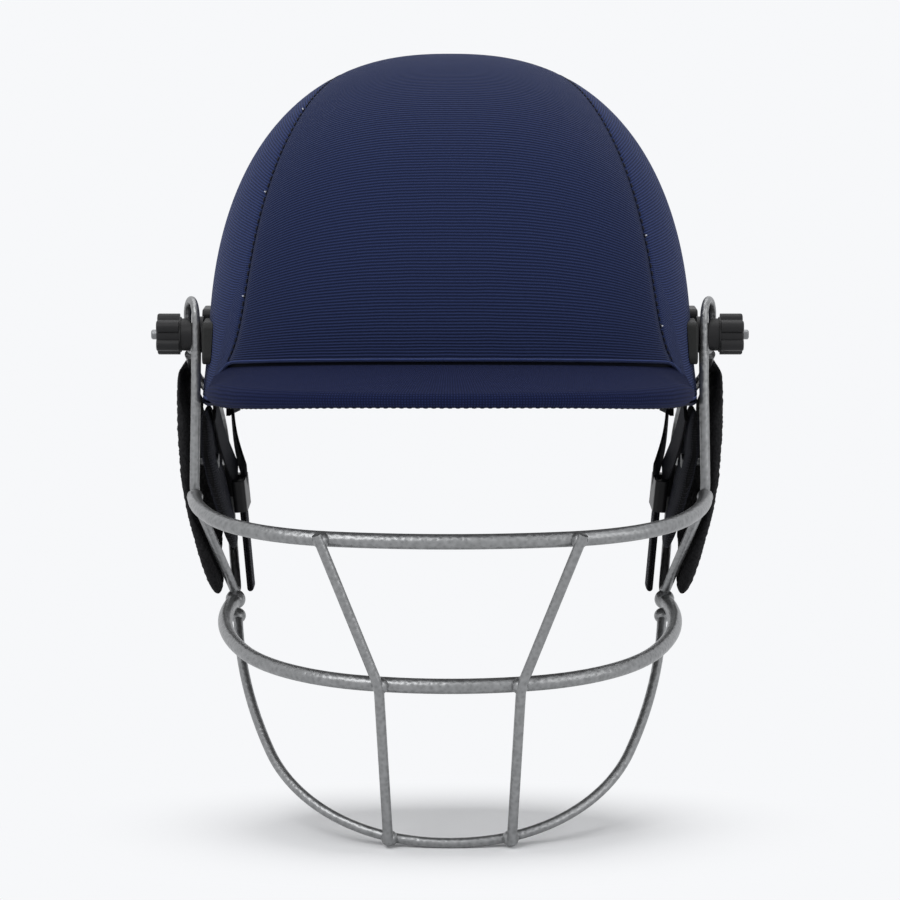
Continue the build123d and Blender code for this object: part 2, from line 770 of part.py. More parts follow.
def frame_place(place):
    """Point behind and above the screw axis and out of the block's face."""
    behind, rise, out = place
    return Vector(block_face + out, pivot_y + behind, pivot_z + rise)


# Side frame: one welded wire on each side, an eye for the clamp and a closed loop below it
leg_top = eye_plane.from_local_coords((leg_start[0], leg_start[1], 0))
stay_top = eye_plane.from_local_coords((stay_start[0], stay_start[1], 0))
frame_corners = [frame_place(place) for place in (cheek_bend, jaw_bend, rear_bend, stay_bulge)]
with BuildLine() as frame_line:
    FilletPolyline(leg_top, *frame_corners, stay_top, radius=frame_bends)
with BuildLine(eye_plane) as eye_line:
    low_centre, high_centre = eye_seat, eye_seat + eye_height
    low_arc = ThreePointArc((-eye_leg, low_centre), (0, low_centre - eye_leg), (eye_leg, low_centre))
    Line(low_arc @ 1, (eye_leg, high_centre))
    ThreePointArc((eye_leg, high_centre), (0, high_centre + eye_leg), (-eye_leg, high_centre))
    Line((-eye_leg, high_centre), low_arc @ 0)

with BuildPart() as side_frame:
    add(wire_along(eye_line.line, eye_wire_radius))
    add(wire_along(frame_line.line, wire_radius))
    eye_side = eye_plane.from_local_coords((-eye_leg, low_centre, 0))
    with BuildSketch(Plane(origin=leg_top, z_dir=eye_side - leg_top)):
        Circle(eye_wire_radius)
    extrude(amount=low_centre - leg_start[1])
save_pair("side_frame", side_frame.part)

stay_low, stay_high = frame_corners[1], frame_corners[2]
stay_direction = (stay_high - stay_low).normalized()
sleeve_start = stay_low + (stay_high - stay_low) * sleeve_share
sleeve_plane = Plane(origin=sleeve_start, z_dir=stay_direction)
with BuildPart() as sleeve:
    add(rod(sleeve_plane, 0, sleeve_length, wire_radius + sleeve_wall))
    bore_end = sleeve_length + small_overrun
    add(rod(sleeve_plane, -small_overrun, bore_end, wire_radius + face_gap), mode=Mode.SUBTRACT)
save_pair("stay_sleeve", sleeve.part)

# Weld beads where the wires cross or meet, cut to lie round the wires
crossing_radii = [(line, x, offset - wire_radius - weld_gap / 2) for line, x, offset in crossings]
beads = [(bar_place(*crossing), weld_radius) for crossing in crossing_radii]
for name in ("top_bar", "chin_bar"):
    line = bars[name][0]
    beads.append((line @ 1 + (line % 1) * weld_gap, weld_radius))
beads.append(((bars["middle_bar"][0] @ 1 + frame_corners[1]) / 2, jaw_weld_radius))

cut_beads = []
for place, radius in beads:
    bead = Pos(*place) * Sphere(radius)
    for wire in (*bar_parts.values(), upright, side_frame.part):
        bead = bead - wire
    cut_beads.append(bead)

with BuildPart() as weld_beads:
    add(cut_beads)
    mirror(about=Plane.YZ)
save("weld_beads", weld_beads.part)

# Ear pads outside the side frames, linings inside them, and the rivets that clamp each pair
def profile_at(profile, rise):
    """Value of a profile, given by points of falling height, at a height."""
    for (high, start), (low, end) in zip(profile, profile[1:]):
        if rise >= low:
            return mix(start, end, (high - rise) / (high - low))
    return profile[-1][1]


def ear_rivet(behind, rise, growth):
    """Rivet through pad and lining with a sunk head at each end, grown on all sides by a growth."""
    plane = Plane(origin=(block_face, pivot_y + behind, pivot_z + rise), z_dir=(1, 0, 0))
    outer = profile_at(ear_outer, rise)
    inner = profile_at(lining_outer, rise) - lining_thickness
    radius = ear_rivet_radius + growth
    head = ear_rivet_head + growth
    sunk = ear_rivet_cap * rivet_sunk_share
    proud = ear_rivet_cap - sunk
    with BuildPart() as form:
        add(rod(plane, inner - proud, outer + proud, radius))
        add(rod(plane, inner - proud, inner + sunk + growth, head))
        add(rod(plane, outer - sunk - growth, outer + proud, head))
    return form.part


lining_inner = [(rise, out - lining_thickness) for rise, out in lining_outer]
rivet_holes = [ear_rivet(behind, rise, running_gap) for behind, rise in ear_rivets]
ear_low, ear_high = screw_seat / 2, block_face + cut_overrun

with BuildPart() as ear_pad:
    add(side_block(ear_outline, ear_corner, ear_low, ear_high))
    add(curtain(ear_outer, ear_inner), mode=Mode.INTERSECT)
    add(rivet_holes, mode=Mode.SUBTRACT)
save_pair("ear_pad", ear_pad.part)

with BuildPart() as ear_lining:
    add(side_block(lining_outline, lining_corner, ear_low, ear_high))
    add(curtain(lining_outer, lining_inner), mode=Mode.INTERSECT)
    add(rivet_holes, mode=Mode.SUBTRACT)
save_pair("ear_lining", ear_lining.part)

with BuildPart() as ear_rivet_group:
    for behind, rise in ear_rivets:
        add(ear_rivet(behind, rise, 0))
    mirror(about=Plane.YZ)
save("ear_rivets", ear_rivet_group.part)

# Chin strap: two tabs riveted inside the shell, two webs, a slider and the doubled end
tab_layer = dome(tab_inset) - dome(tab_inset + tab_thickness)
web_tops = []
strap_rivets = []
for name, (y, z), plane in zip(("front", "rear"), tab_places, rivet_planes):
    low, high = (screw_seat / 2, y - tab_width / 2, z), (block_face, y + tab_width / 2, z + tab_height)
    with BuildPart() as tab:
        add(tab_layer)
        add(box_between(low, high), mode=Mode.INTERSECT)
        add(rod(plane, -tab_rivet_cap, tab_thickness + layer_gap, tab_rivet_radius), mode=Mode.SUBTRACT)
        head_end, head_radius = tab_rivet_sink + face_gap, tab_rivet_head + face_gap
        add(rod(plane, -tab_rivet_cap, head_end, head_radius), mode=Mode.SUBTRACT)
    save_pair(f"strap_{name}_tab", tab.part)
    strap_rivets.append(rod(plane, tab_rivet_sink, rivet_end, tab_rivet_radius - face_gap))
    strap_rivets.append(rod(plane, tab_rivet_sink - tab_rivet_cap, tab_rivet_sink, tab_rivet_head))
    web_tops.append(Vector(half_width_at(y, z, tab_inset + tab_thickness / 2), y, z - web_gap))


with BuildPart() as strap_rivet_group:
    add(strap_rivets)
    mirror(about=Plane.YZ)
save("strap_rivets", strap_rivet_group.part)


def ribbon(start, end, thickness):
    """Flat strap between two points, facing the wearer's side."""
    along = (end - start).normalized()
    face = (Vector(1, 0, 0) - along * along.X).normalized()
    middle = (start + end) / 2
    with BuildPart() as form:
        with BuildSketch(Plane(origin=middle - face * (thickness / 2), x_dir=along, z_dir=face)):
            Rectangle((end - start).length + 2 * web_width, web_width)
        extrude(amount=thickness)
    return form.part


def level_slice(low, high):
    """Everything on the right between two heights."""
    return box_between((layer_gap, -2 * cut_overrun, low), (block_face + cut_overrun, 2 * cut_overrun, high))


slider_centre = Vector(block_face - slider_place[2], pivot_y + slider_place[0], pivot_z + slider_place[1])
slider_top = slider_centre.Z + slider_height / 2
strap_tip = Vector(block_face - strap_end[2], pivot_y + strap_end[0], pivot_z + strap_end[1])
web_foot = slider_centre + Vector(0, 0, slider_height / 2)
for name, top, shift in zip(("front", "rear"), web_tops, (1, -1)):
    with BuildPart() as web:
        add(ribbon(top, web_foot + Vector(shift * web_spread, 0, 0), web_thickness))
        add(level_slice(slider_top + web_gap, top.Z), mode=Mode.INTERSECT)
    save_pair(f"strap_{name}_web", web.part)

tail_thickness = 2 * web_thickness + face_gap
with BuildPart() as tail:
    add(ribbon(slider_centre, strap_tip, tail_thickness))
    add(level_slice(strap_tip.Z, slider_top - web_gap), mode=Mode.INTERSECT)
save_pair("strap_tail", tail.part)

tail_direction = (strap_tip - slider_centre).normalized()
tail_face = (Vector(1, 0, 0) - tail_direction * tail_direction.X).normalized()
with BuildPart() as slider:
    slider_x = tail_direction.cross(tail_face)
    with BuildSketch(Plane(origin=slider_centre, x_dir=slider_x, z_dir=tail_direction)):
        RectangleRounded(slider_width, slider_thickness, slider_thickness / 3)
        Rectangle(web_width + 2 * slider_clearance, tail_thickness + 2 * slider_clearance, mode=Mode.SUBTRACT)
    extrude(amount=slider_height / 2, both=True)
save_pair("strap_slider", slider.part)
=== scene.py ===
"""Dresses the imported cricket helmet: fabric shell, padded peak, ear pads, liner pads and straps.

Lengths are metres in the helmet's own frame: +Z up as worn, -Y out of the face opening.
"""
import math

import bmesh
import bpy
import numpy as np
from bpy.props import FloatProperty, FloatVectorProperty, PointerProperty
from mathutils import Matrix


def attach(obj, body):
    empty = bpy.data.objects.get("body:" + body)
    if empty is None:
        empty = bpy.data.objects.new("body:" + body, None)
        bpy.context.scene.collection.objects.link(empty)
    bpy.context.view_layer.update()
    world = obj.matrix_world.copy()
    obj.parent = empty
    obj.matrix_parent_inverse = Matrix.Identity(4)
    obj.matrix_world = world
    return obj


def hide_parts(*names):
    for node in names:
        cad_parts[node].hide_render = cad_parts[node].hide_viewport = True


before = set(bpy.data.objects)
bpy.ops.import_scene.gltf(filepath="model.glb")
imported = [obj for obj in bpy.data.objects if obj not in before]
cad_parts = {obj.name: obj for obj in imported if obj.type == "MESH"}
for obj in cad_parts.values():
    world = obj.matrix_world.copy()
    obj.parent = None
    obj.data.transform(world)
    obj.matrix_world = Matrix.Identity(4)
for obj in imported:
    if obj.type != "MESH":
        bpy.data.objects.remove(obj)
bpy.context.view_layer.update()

bl_info = {
    "name": "Cricket helmet dressing",
    "version": (1, 0, 0),
    "blender": (4, 5, 0),
    "location": "3D Viewport > Sidebar > Helmet",
    "description": "Builds the soft goods and finishes of a fabric-covered cricket helmet",
    "category": "Object",
}

SIDES = (("left", -1), ("right", 1))
UP = np.array([0.0, 0.0, 1.0])
OUT = np.array([1.0, 0.0, 0.0])

# The dome, measured over its fabric
HALF_WIDTH = 0.0996
FRONT_LENGTH = 0.100
REAR_LENGTH = 0.143
DOME_HEIGHT = 0.1318
FLARE_SHARE = 0.034
FLARE_TOP = 0.022
FLARE_BOTTOM = -0.022
CROWN_POWER = 2.42
BROW_POWER = 2.7
NAPE_POWER = 2.35
WIDEST_Y = (0.142 - REAR_LENGTH * (1 + FLARE_SHARE)) / 2
WIDEST_Z = 0.1772
PIVOT_Y = WIDEST_Y - 0.028
PIVOT_Z = WIDEST_Z + 0.019
BLOCK_FACE = 0.10026

# Lower edges: distances behind the widest section and heights above the widest level
RIM_LINE = np.array([
    (-0.130, 0.0055), (-0.045, -0.0070), (0.026, -0.0100), (0.092, -0.0260), (0.160, -0.0300),
])
HEM_LINE = np.array([(-0.150, 0.0234), (-0.064, 0.0113), (-0.053, 0.0035), (-0.040, -0.0170)])
EDGE_CLEARANCE = 0.0016
HEM_CLEARANCE = 0.0004

# Seams, arcs in plan
SEAM_MIDDLE = 0.045
SEAM_SAGITTA = 0.0445
SEAM_HALF_LENGTH = 0.107
SEAM_SETBACK = 0.028
SEAM_RADIUS = (SEAM_HALF_LENGTH**2 + SEAM_SAGITTA**2) / (2 * SEAM_SAGITTA)
SEAM_REACH = 0.12
SEAM_FLARE = 0.0064
HEM_TOP = 0.1915
SEAM_FLARE_RISE = 0.0130
SEAM_DIP_WIDTH = 0.0016
COVER_CENTRE = np.array([0, WIDEST_Y, WIDEST_Z - 0.02])
PANEL_GAP = 0.0002
HEM_END_AHEAD = 0.006

# Turns under and above the cloth's edge, in front and behind
FRONT_TURNS = (-0.3, math.pi / 2)
REAR_TURNS = (math.pi + 0.5, math.pi / 2)

# Stitches: length, width and height, and the stitches on each side that carry a light speck
STITCH_SIZE = (0.0021, 0.0008, 0.0007)
EDGE_STITCH_SIZE = (0.0020, 0.0006, 0.0006)
LIGHT_SPECK_SIZE = (0.0011, 0.0006, 0.0006)
LIGHT_SPECK_STITCHES = {-1: slice(9, 40, 14), 1: slice(5, 24, 12)}

# Layers in from the fabric's face
FOAM_OUTER = 0.0044
PAD_OUTER = 0.0157
PAD_THICKNESS = 0.0050
PAD_SETBACK = 0.0130
PAD_HALF_HEIGHT = 0.023
SIDE_PAD_BEHIND = 0.006

# Peak
PEAK_AHEAD = 0.052
PEAK_HALF_WIDTH = 0.0975
PEAK_LENGTH = 0.090
PEAK_POWER = 2.3
LIP_POWER = 2.8
LIP_RISE = 0.0031
LIP_DROP = 0.0077
NOSE_HEIGHT = 0.0060
END_HEIGHT = 0.0120
LIP_END_HEIGHT = 0.0105
END_ROUNDS = (0.0065, 0.0035)
PEAK_UNDER_HEM = 0.0015
PEAK_SEAT = 0.0010
PEAK_END_TURN = math.radians(5)
PEAK_EASE = 0.0004
PEAK_CROWN = 0.0006
NOSE_BULGE = 0.48
UNDER_STEPS = 25
NOSE_STEPS = 17
EDGE_COLUMN = UNDER_STEPS + NOSE_STEPS // 2
STITCH_COLUMN = UNDER_STEPS + 2
PEAK_LINING_TURNS = (math.radians(27), math.radians(153))
PEAK_LINING_RUN = slice(2, 22)
PEAK_LINING_THICKNESS = 0.0007
PEAK_LINING_BELOW = 0.0006

# Ear pads: outlines behind and above the pivot, faces by height above it and distance out of the block's face
EAR_OUTLINE = [
    (-0.005, -0.0145), (-0.0055, -0.062), (0.023, -0.1125), (0.045, -0.1125),
    (0.082, -0.058), (0.076, -0.030), (0.052, -0.0145),
]
EAR_OUTER = [
    (-0.014, 0.0112), (-0.039, 0.0116), (-0.059, 0.0103),
    (-0.078, 0.0079), (-0.095, 0.0046), (-0.113, 0.0003),
]
EAR_BOW = 0.0075
EAR_BOW_START = (0.044, -0.040)
EAR_BOW_RUN = (0.026, 0.012)
EAR_INNER = [
    (-0.014, 0.0086), (-0.026, 0.0086), (-0.036, 0.0052), (-0.054, 0.0048),
    (-0.070, 0.0052), (-0.084, 0.0016), (-0.104, -0.0042), (-0.113, -0.0066),
]
LINING_OUTLINE = [
    (0.0, -0.0325), (-0.002, -0.062), (0.017, -0.092), (0.038, -0.092), (0.046, -0.062), (0.034, -0.0325),
]
LINING_OUTER = [(-0.033, 0.0028), (-0.050, 0.0022), (-0.062, -0.0005), (-0.084, -0.0057), (-0.093, -0.0080)]
LINING_THICKNESS = 0.0050
PILE_PITCH = 0.0026

# Chin strap on the right, as x, y and z
WEB_TOPS = {"front": (0.09698, -0.01893, 0.1652), "rear": (0.09372, 0.04907, 0.1532)}
SLIDER_CENTRE = (0.08836, 0.01507, 0.1242)
SLIDER_HEIGHT = 0.013
STRAP_TIP = (0.08446, 0.01507, 0.0832)
TAB_WIDTH = 0.019
TAB_HEIGHT = 0.017
WEB_BOW = 0.0011
FOOT_SHIFT = 0.0020

# Stage: colours, light from all round, and each lamp's place, aim, size and power
WHITE = (0.930, 0.938, 0.955, 1)
FLOOR_COLOUR = (0.86, 0.868, 0.885, 1)
FLOOR_HALF = 6
WORLD_STRENGTH = 0.55
SHADOW_SCALE = (5.5, 11, 5.5)
SHADOW_SHIFT = (0, 0.85, 0)
LAMPS = (
    ("key", (-0.9, -1.3, 1.5), (0, 0, 0.15), 1.2, 20),
    ("fill", (1.3, -1.0, 0.8), (0, 0, 0.15), 1.2, 8),
    ("top", (0.0, 0.2, 1.6), (0, 0, 0.1), 1.4, 10),
)

# The photograph's camera
CAMERA_AIM = (0, 0.01507, 0.1422)
CAMERA_RISE = math.radians(8)
CAMERA_DISTANCE = 1.5
CAMERA_LENS = 142
CAMERA_SENSOR = 36


class HelmetSettings(bpy.types.PropertyGroup):
    """Sizes and colours of the dressing."""

    cover_thickness: FloatProperty(
        name="Cover thickness", description="Thickness of the stretched cloth", default=0.0008, unit="LENGTH"
    )
    rib_pitch: FloatProperty(
        name="Rib pitch", description="Distance between the cloth's ribs", default=0.00118, unit="LENGTH"
    )
    seam_dip: FloatProperty(
        name="Seam dip", description="How far the cloth sinks at a seam", default=0.0006, unit="LENGTH"
    )
    stitch_pitch: FloatProperty(
        name="Stitch pitch", description="Distance from stitch to stitch", default=0.0030, unit="LENGTH"
    )
    hem_radius: FloatProperty(
        name="Hem radius", description="Radius of the rolled front hem", default=0.0007, unit="LENGTH"
    )
    pile_height: FloatProperty(
        name="Pile height", description="Height of the ear pad's loops", default=0.0004, unit="LENGTH"
    )
    web_width: FloatProperty(
        name="Web width", description="Width of the straps", default=0.015, unit="LENGTH"
    )
    web_thickness: FloatProperty(
        name="Web thickness", description="Thickness of the straps", default=0.0014, unit="LENGTH"
    )
    navy: FloatVectorProperty(
        name="Navy", description="Cloth", subtype="COLOR", default=(0.0120, 0.0185, 0.0560), min=0, max=1
    )
    black: FloatVectorProperty(
        name="Black", description="Pads and straps", subtype="COLOR",
        default=(0.012, 0.012, 0.013), min=0, max=1,
    )
    steel: FloatVectorProperty(
        name="Steel", description="Grille's coat", subtype="COLOR",
        default=(0.25, 0.254, 0.258), min=0, max=1,
    )


def settings():
    """The scene's helmet settings."""
    return bpy.context.scene.helmet_settings


def unit(vectors):
    """Vectors divided by their lengths."""
    return vectors / np.maximum(np.linalg.norm(vectors, axis=-1, keepdims=True), 1e-12)


def smooth(share):
    """Eases from 0 to 1: three times the square less twice the cube of the clipped share."""
    share = np.clip(share, 0, 1)
    return share * share * (3 - 2 * share)


def level_size(rise, inset=0.0):
    """Size of the dome's level section: (1 - (rise / height)^p)^(1/p), widened near the rim."""
    flare = 1 + FLARE_SHARE * smooth((FLARE_TOP - rise) / (FLARE_TOP - FLARE_BOTTOM))
    share = np.clip(rise / (DOME_HEIGHT - inset), 0, 1)
    return flare * (1 - share**CROWN_POWER) ** (1 / CROWN_POWER)


def plan_terms(back, inset):
    """Power and length of the level superellipse ahead of or behind the widest section."""
    power = np.where(back < 0, BROW_POWER, NAPE_POWER)
    return power, np.where(back < 0, FRONT_LENGTH, REAR_LENGTH) - inset


def plan_size(x, back, inset):
    """Size of the level section through a point: (|x/a|^p + |back/b|^p)^(1/p)."""
    power, length = plan_terms(back, inset)
    return ((np.abs(x) / (HALF_WIDTH - inset)) ** power + (np.abs(back) / length) ** power) ** (1 / power)


def half_width(y, z, inset=0.0):
    """Half width of the dome at a y and a height, solved from |x/a|^p + |y/b|^p = size^p."""
    back = y - WIDEST_Y
    power, length = plan_terms(back, inset)
    rest = level_size(z - WIDEST_Z, inset) ** power - (np.abs(back) / length) ** power
    return (HALF_WIDTH - inset) * np.maximum(rest, 0) ** (1 / power)


def half_length(x, z, behind, inset=0.0):
    """Distance from the widest section to the dome ahead (behind -1) or behind (1), solved likewise."""
    power, length = plan_terms(np.float64(behind), inset)
    rest = level_size(z - WIDEST_Z, inset) ** power - (np.abs(x) / (HALF_WIDTH - inset)) ** power
    return length * np.maximum(rest, 0) ** (1 / power)


def on_dome(x, turn, inset=0.0):
    """Points of the dome at an x and a turn from the front over the crown to the rear.

    Each lies on a ray in the plane of its x, found by halving where the ray leaves the dome.
    """
    x, turn = np.broadcast_arrays(x, turn)
    near, far = np.zeros(x.shape), np.full(x.shape, 2 * REAR_LENGTH)
    for _ in range(36):
        reach = (near + far) / 2
        back, rise = -reach * np.cos(turn), reach * np.sin(turn)
        inside = (plan_size(x, back, inset) < level_size(rise, inset)) & (rise < DOME_HEIGHT - inset)
        near, far = np.where(inside, reach, near), np.where(inside, far, reach)
    return np.stack([x, WIDEST_Y - near * np.cos(turn), WIDEST_Z + near * np.sin(turn)], axis=-1)


def seam_table():
    """Turns and the seam's half width at each: an arc in plan, x = middle + R - sqrt(R^2 - y^2).

    It flares over the brow by flare * exp(-height above the hem / rise).
    """
    turns = np.linspace(-0.35, math.pi + 0.55, 420)
    low, high = np.full(turns.shape, 0.03), np.full(turns.shape, 0.103)
    for _ in range(30):
        x = (low + high) / 2
        along = np.clip(on_dome(x, turns)[:, 1] - WIDEST_Y - SEAM_SETBACK, -SEAM_REACH, SEAM_REACH)
        outside = x > SEAM_MIDDLE + SEAM_RADIUS - np.sqrt(SEAM_RADIUS**2 - along**2)
        low, high = np.where(outside, low, x), np.where(outside, x, high)
    width = (low + high) / 2
    place = on_dome(width, turns)
    flare = SEAM_FLARE * np.exp(-np.maximum(place[:, 2] - HEM_TOP, 0) / SEAM_FLARE_RISE)
    return turns, width + np.where(place[:, 1] < WIDEST_Y, flare, 0)


SEAM_TURNS, SEAM_WIDTHS = seam_table()


def rim_height(y):
    """Height of the shell's lower edge."""
    return WIDEST_Z + np.interp(y - WIDEST_Y, RIM_LINE[:, 0], RIM_LINE[:, 1])


def hem_height(y):
    """Height of the cloth's lower edge: the hem over the peak, then the rim."""
    hem = WIDEST_Z + np.interp(y - WIDEST_Y, HEM_LINE[:, 0], HEM_LINE[:, 1], right=-1) + HEM_CLEARANCE
    return np.maximum(rim_height(y) + EDGE_CLEARANCE, hem)


def turn_at_hem(share, below, above):
    """Turn at which a line of equal share of the crown panel's width meets the hem, by halving."""
    below, above = np.full(np.shape(share), below), np.full(np.shape(share), above)
    for _ in range(26):
        turn = (below + above) / 2
        point = on_dome(share * np.interp(turn, SEAM_TURNS, SEAM_WIDTHS), turn)
        clear = point[..., 2] > hem_height(point[..., 1])
        below, above = np.where(clear, below, turn), np.where(clear, turn, above)
    return (below + above) / 2


def outward(points, centre):
    """Unit normals of a grid, the cross product of its two directions, turned away from a centre."""
    normal = unit(np.cross(np.gradient(points, axis=0), np.gradient(points, axis=1)))
    return normal * np.sign(np.sum(normal * (points - centre), axis=-1, keepdims=True))


def quads(rows, columns, round_columns=False):
    """Corner numbers of the quads of a grid of points, closed round its columns where asked."""
    row, column = np.meshgrid(
        np.arange(rows - 1), np.arange(columns if round_columns else columns - 1), indexing="ij"
    )
    after = (column + 1) % columns
    here, ahead = row * columns, (row + 1) * columns
    corners = [here + column, ahead + column, ahead + after, here + after]
    return np.stack(corners, axis=-1).reshape(-1, 4)


def wall(outer, inner, uv):
    """Closed wall between two grids of equal size, joined round their edge."""
    rows, columns = outer.shape[:2]
    count = rows * columns
    face = quads(rows, columns)
    ring = np.concatenate([
        np.arange(columns),
        np.arange(1, rows) * columns + columns - 1,
        (rows - 1) * columns + np.arange(columns - 2, -1, -1),
        np.arange(rows - 2, 0, -1) * columns,
    ])
    after = np.roll(ring, -1)
    edge = np.stack([ring, after, after + count, ring + count], axis=-1)
    points = np.concatenate([outer.reshape(-1, 3), inner.reshape(-1, 3)])
    faces = np.concatenate([face, face[:, ::-1] + count, edge])
    return points, faces, np.concatenate([uv.reshape(-1, 2)] * 2)


def round_wall(points, uv):
    """Grid closed round its columns; its first and last rows have shrunk to points or are left to meet."""
    rows, columns = points.shape[:2]
    return points.reshape(-1, 3), quads(rows, columns, round_columns=True), uv.reshape(-1, 2)


def arc_length(path):
    """Distance along a path to each of its points."""
    return np.concatenate([[0], np.cumsum(np.linalg.norm(np.diff(path, axis=0), axis=1))])


def even(path, count):
    """The path's points spread evenly along it."""
    distance = arc_length(path)
    wanted = np.linspace(0, distance[-1], count)
    return np.stack([np.interp(wanted, distance, path[:, k]) for k in range(path.shape[1])], axis=-1)


def rounded(outline, radius, count):
    """Closed outline with softened corners: evenly spread points, then a Gaussian blur round the loop."""
    path = np.array(outline + outline[:1])
    path = even(path, count + 1)[:-1]
    step = arc_length(path)[-1] / count
    wave = np.fft.fftfreq(count)
    blur = np.exp(-2 * (np.pi * wave * radius / (2 * step)) ** 2)
    return [np.real(np.fft.ifft(np.fft.fft(path[:, k]) * blur)) for k in (0, 1)]


def lumps(points, length, seed):
    """Smooth noise from -1 to 1: the mean of sines of the place along random directions."""
    rng = np.random.default_rng(seed)
    waves = rng.normal(size=(14, 3))
    pitch = rng.uniform(0.7, 1.4, (14, 1)) / np.linalg.norm(waves, axis=1, keepdims=True)
    waves *= 2 * np.pi / length * pitch
    return np.clip(np.sin(points @ waves.T + rng.uniform(0, 2 * np.pi, 14)).mean(axis=-1) * 2.4, -1, 1)


def grid_uv(points):
    """UV in metres: the mean distance along a grid's columns and rows."""
    across = np.linalg.norm(np.diff(points, axis=1), axis=-1).mean(axis=0)
    along = np.linalg.norm(np.diff(points, axis=0), axis=-1).mean(axis=1)
    u, v = np.meshgrid(np.concatenate([[0], np.cumsum(across)]), np.concatenate([[0], np.cumsum(along)]))
    return np.stack([u, v], axis=-1)


def cushion(u, v, place, rings, power, pile=0.0):
    """Closed pad from an outline: rings shrink to its middle, and both faces close towards its edge.

    place(u, v, side) gives a face's points. Its ease is (1 - ring^power)^(1/2). A pile raises it in lumps.
    """
    ring = np.sin(np.linspace(0, np.pi / 2, rings))[:, None]
    grid_u = u.mean() + (u - u.mean()) * ring
    grid_v = v.mean() + (v - v.mean()) * ring
    ease = np.sqrt(np.maximum(1 - ring**power, 0))[..., None]
    faces = []
    for side in (-1, 1):
        points = place(grid_u, grid_v, side)
        other = place(grid_u, grid_v, -side)
        middle = (points + other) / 2
        faces.append(middle + (points - middle) * ease)
    if pile:
        away = unit(faces[1] - faces[0])
        for k, sign in ((0, -1), (1, 1)):
            height = lumps(faces[k], PILE_PITCH, 5 + k) * pile * ease[..., 0]
            faces[k] = faces[k] + sign * away * height[..., None]
    uv = np.stack([grid_u, grid_v], axis=-1)
    return [round_wall(face, uv) for face in faces]


def tube(path, radius, sections=8):
    """Cord along a path: a circle square to it, whose radius closes at both ends as a dome does."""
    tangent = unit(np.gradient(path, axis=0))
    side = unit(np.cross(tangent, UP))
    over = np.cross(side, tangent)
    distance = arc_length(path)
    end = np.minimum(distance, distance[-1] - distance) / radius
    ease = np.sqrt(1 - (1 - np.clip(end, 0, 1)) ** 2)
    turn = np.linspace(0, 2 * np.pi, sections, endpoint=False)[:, None]
    ring = side[:, None] * np.cos(turn) + over[:, None] * np.sin(turn)
    points = path[:, None] + ring * (radius * ease)[:, None, None]
    uv = np.stack(np.broadcast_arrays(distance[:, None], turn[:, 0] * radius), axis=-1)
    return round_wall(points, uv)


def beads(centres, along, over, length, width, height):
    """Stitches: an ellipsoid on each centre, its length along the seam and its height off the cloth."""
    across = np.cross(along, over)
    pole = np.linspace(0, np.pi, 7)[:, None, None]
    turn = np.linspace(0, 2 * np.pi, 8, endpoint=False)[:, None]
    parts = []
    for centre, a, b, c in zip(centres, along, across, over):
        points = centre + a * np.cos(pole) * length / 2
        points = points + np.sin(pole) * (b * np.cos(turn) * width / 2 + c * np.sin(turn) * height / 2)
        parts.append(round_wall(points, points[..., :2]))
    return parts


def new_piece(name, parts, body, material, stands_for=()):
    """One object from parts of points, faces and UVs, closed and turned outwards, riding on a body."""
    points, faces, uvs, start = [], [], [], 0
    for vertices, polygons, uv in parts:
        points.append(vertices)
        faces.append(polygons + start)
        uvs.append(uv)
        start += len(vertices)
    mesh = bpy.data.meshes.new(name)
    mesh.from_pydata(np.concatenate(points).tolist(), [], np.concatenate(faces).tolist())
    corners = np.zeros(len(mesh.loops), dtype=np.int32)
    mesh.loops.foreach_get("vertex_index", corners)
    layer = mesh.uv_layers.new(name="UVMap")
    layer.data.foreach_set("uv", np.concatenate(uvs)[corners].ravel().astype(np.float32))
    work = bmesh.new()
    work.from_mesh(mesh)
    bmesh.ops.remove_doubles(work, verts=work.verts, dist=2e-6)
    bmesh.ops.dissolve_degenerate(work, edges=work.edges, dist=1e-7)
    bmesh.ops.recalc_face_normals(work, faces=work.faces)
    work.to_mesh(mesh)
    work.free()
    mesh.polygons.foreach_set("use_smooth", np.ones(len(mesh.polygons), dtype=bool))
    mesh.materials.append(material)
    piece = bpy.data.objects.new(name, mesh)
    bpy.context.scene.collection.objects.link(piece)
    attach(piece, body)
    if stands_for:
        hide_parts(*stands_for)
    return piece


def principled(name):
    """New material and its shader."""
    material = bpy.data.materials.get(name) or bpy.data.materials.new(name)
    material.use_nodes = True
    return material, material.node_tree, material.node_tree.nodes["Principled BSDF"]


def set_inputs(shader, **values):
    """Sets shader inputs by name, with underscores for spaces."""
    for name, value in values.items():
        socket = shader.inputs[name.replace("_", " ")]
        socket.default_value = (*value, 1.0) if hasattr(value, "__len__") else value


def coloured(tree, shader, value, dark, light):
    """Drives the base colour from a texture's value, from a dark to a light colour."""
    ramp = tree.nodes.new("ShaderNodeValToRGB")
    ramp.color_ramp.elements[0].color = (*dark, 1)
    ramp.color_ramp.elements[1].color = (*light, 1)
    tree.links.new(value, ramp.inputs["Fac"])
    tree.links.new(ramp.outputs["Color"], shader.inputs["Base Color"])


def bumped(tree, shader, value, distance, strength=1.0):
    """Raises the surface by a texture's value."""
    bump = tree.nodes.new("ShaderNodeBump")
    bump.inputs["Distance"].default_value = distance
    bump.inputs["Strength"].default_value = strength
    tree.links.new(value, bump.inputs["Height"])
    tree.links.new(bump.outputs["Normal"], shader.inputs["Normal"])


def scaled(colour, factor):
    """A colour made lighter or darker."""
    return tuple(min(1.0, channel * factor) for channel in colour)


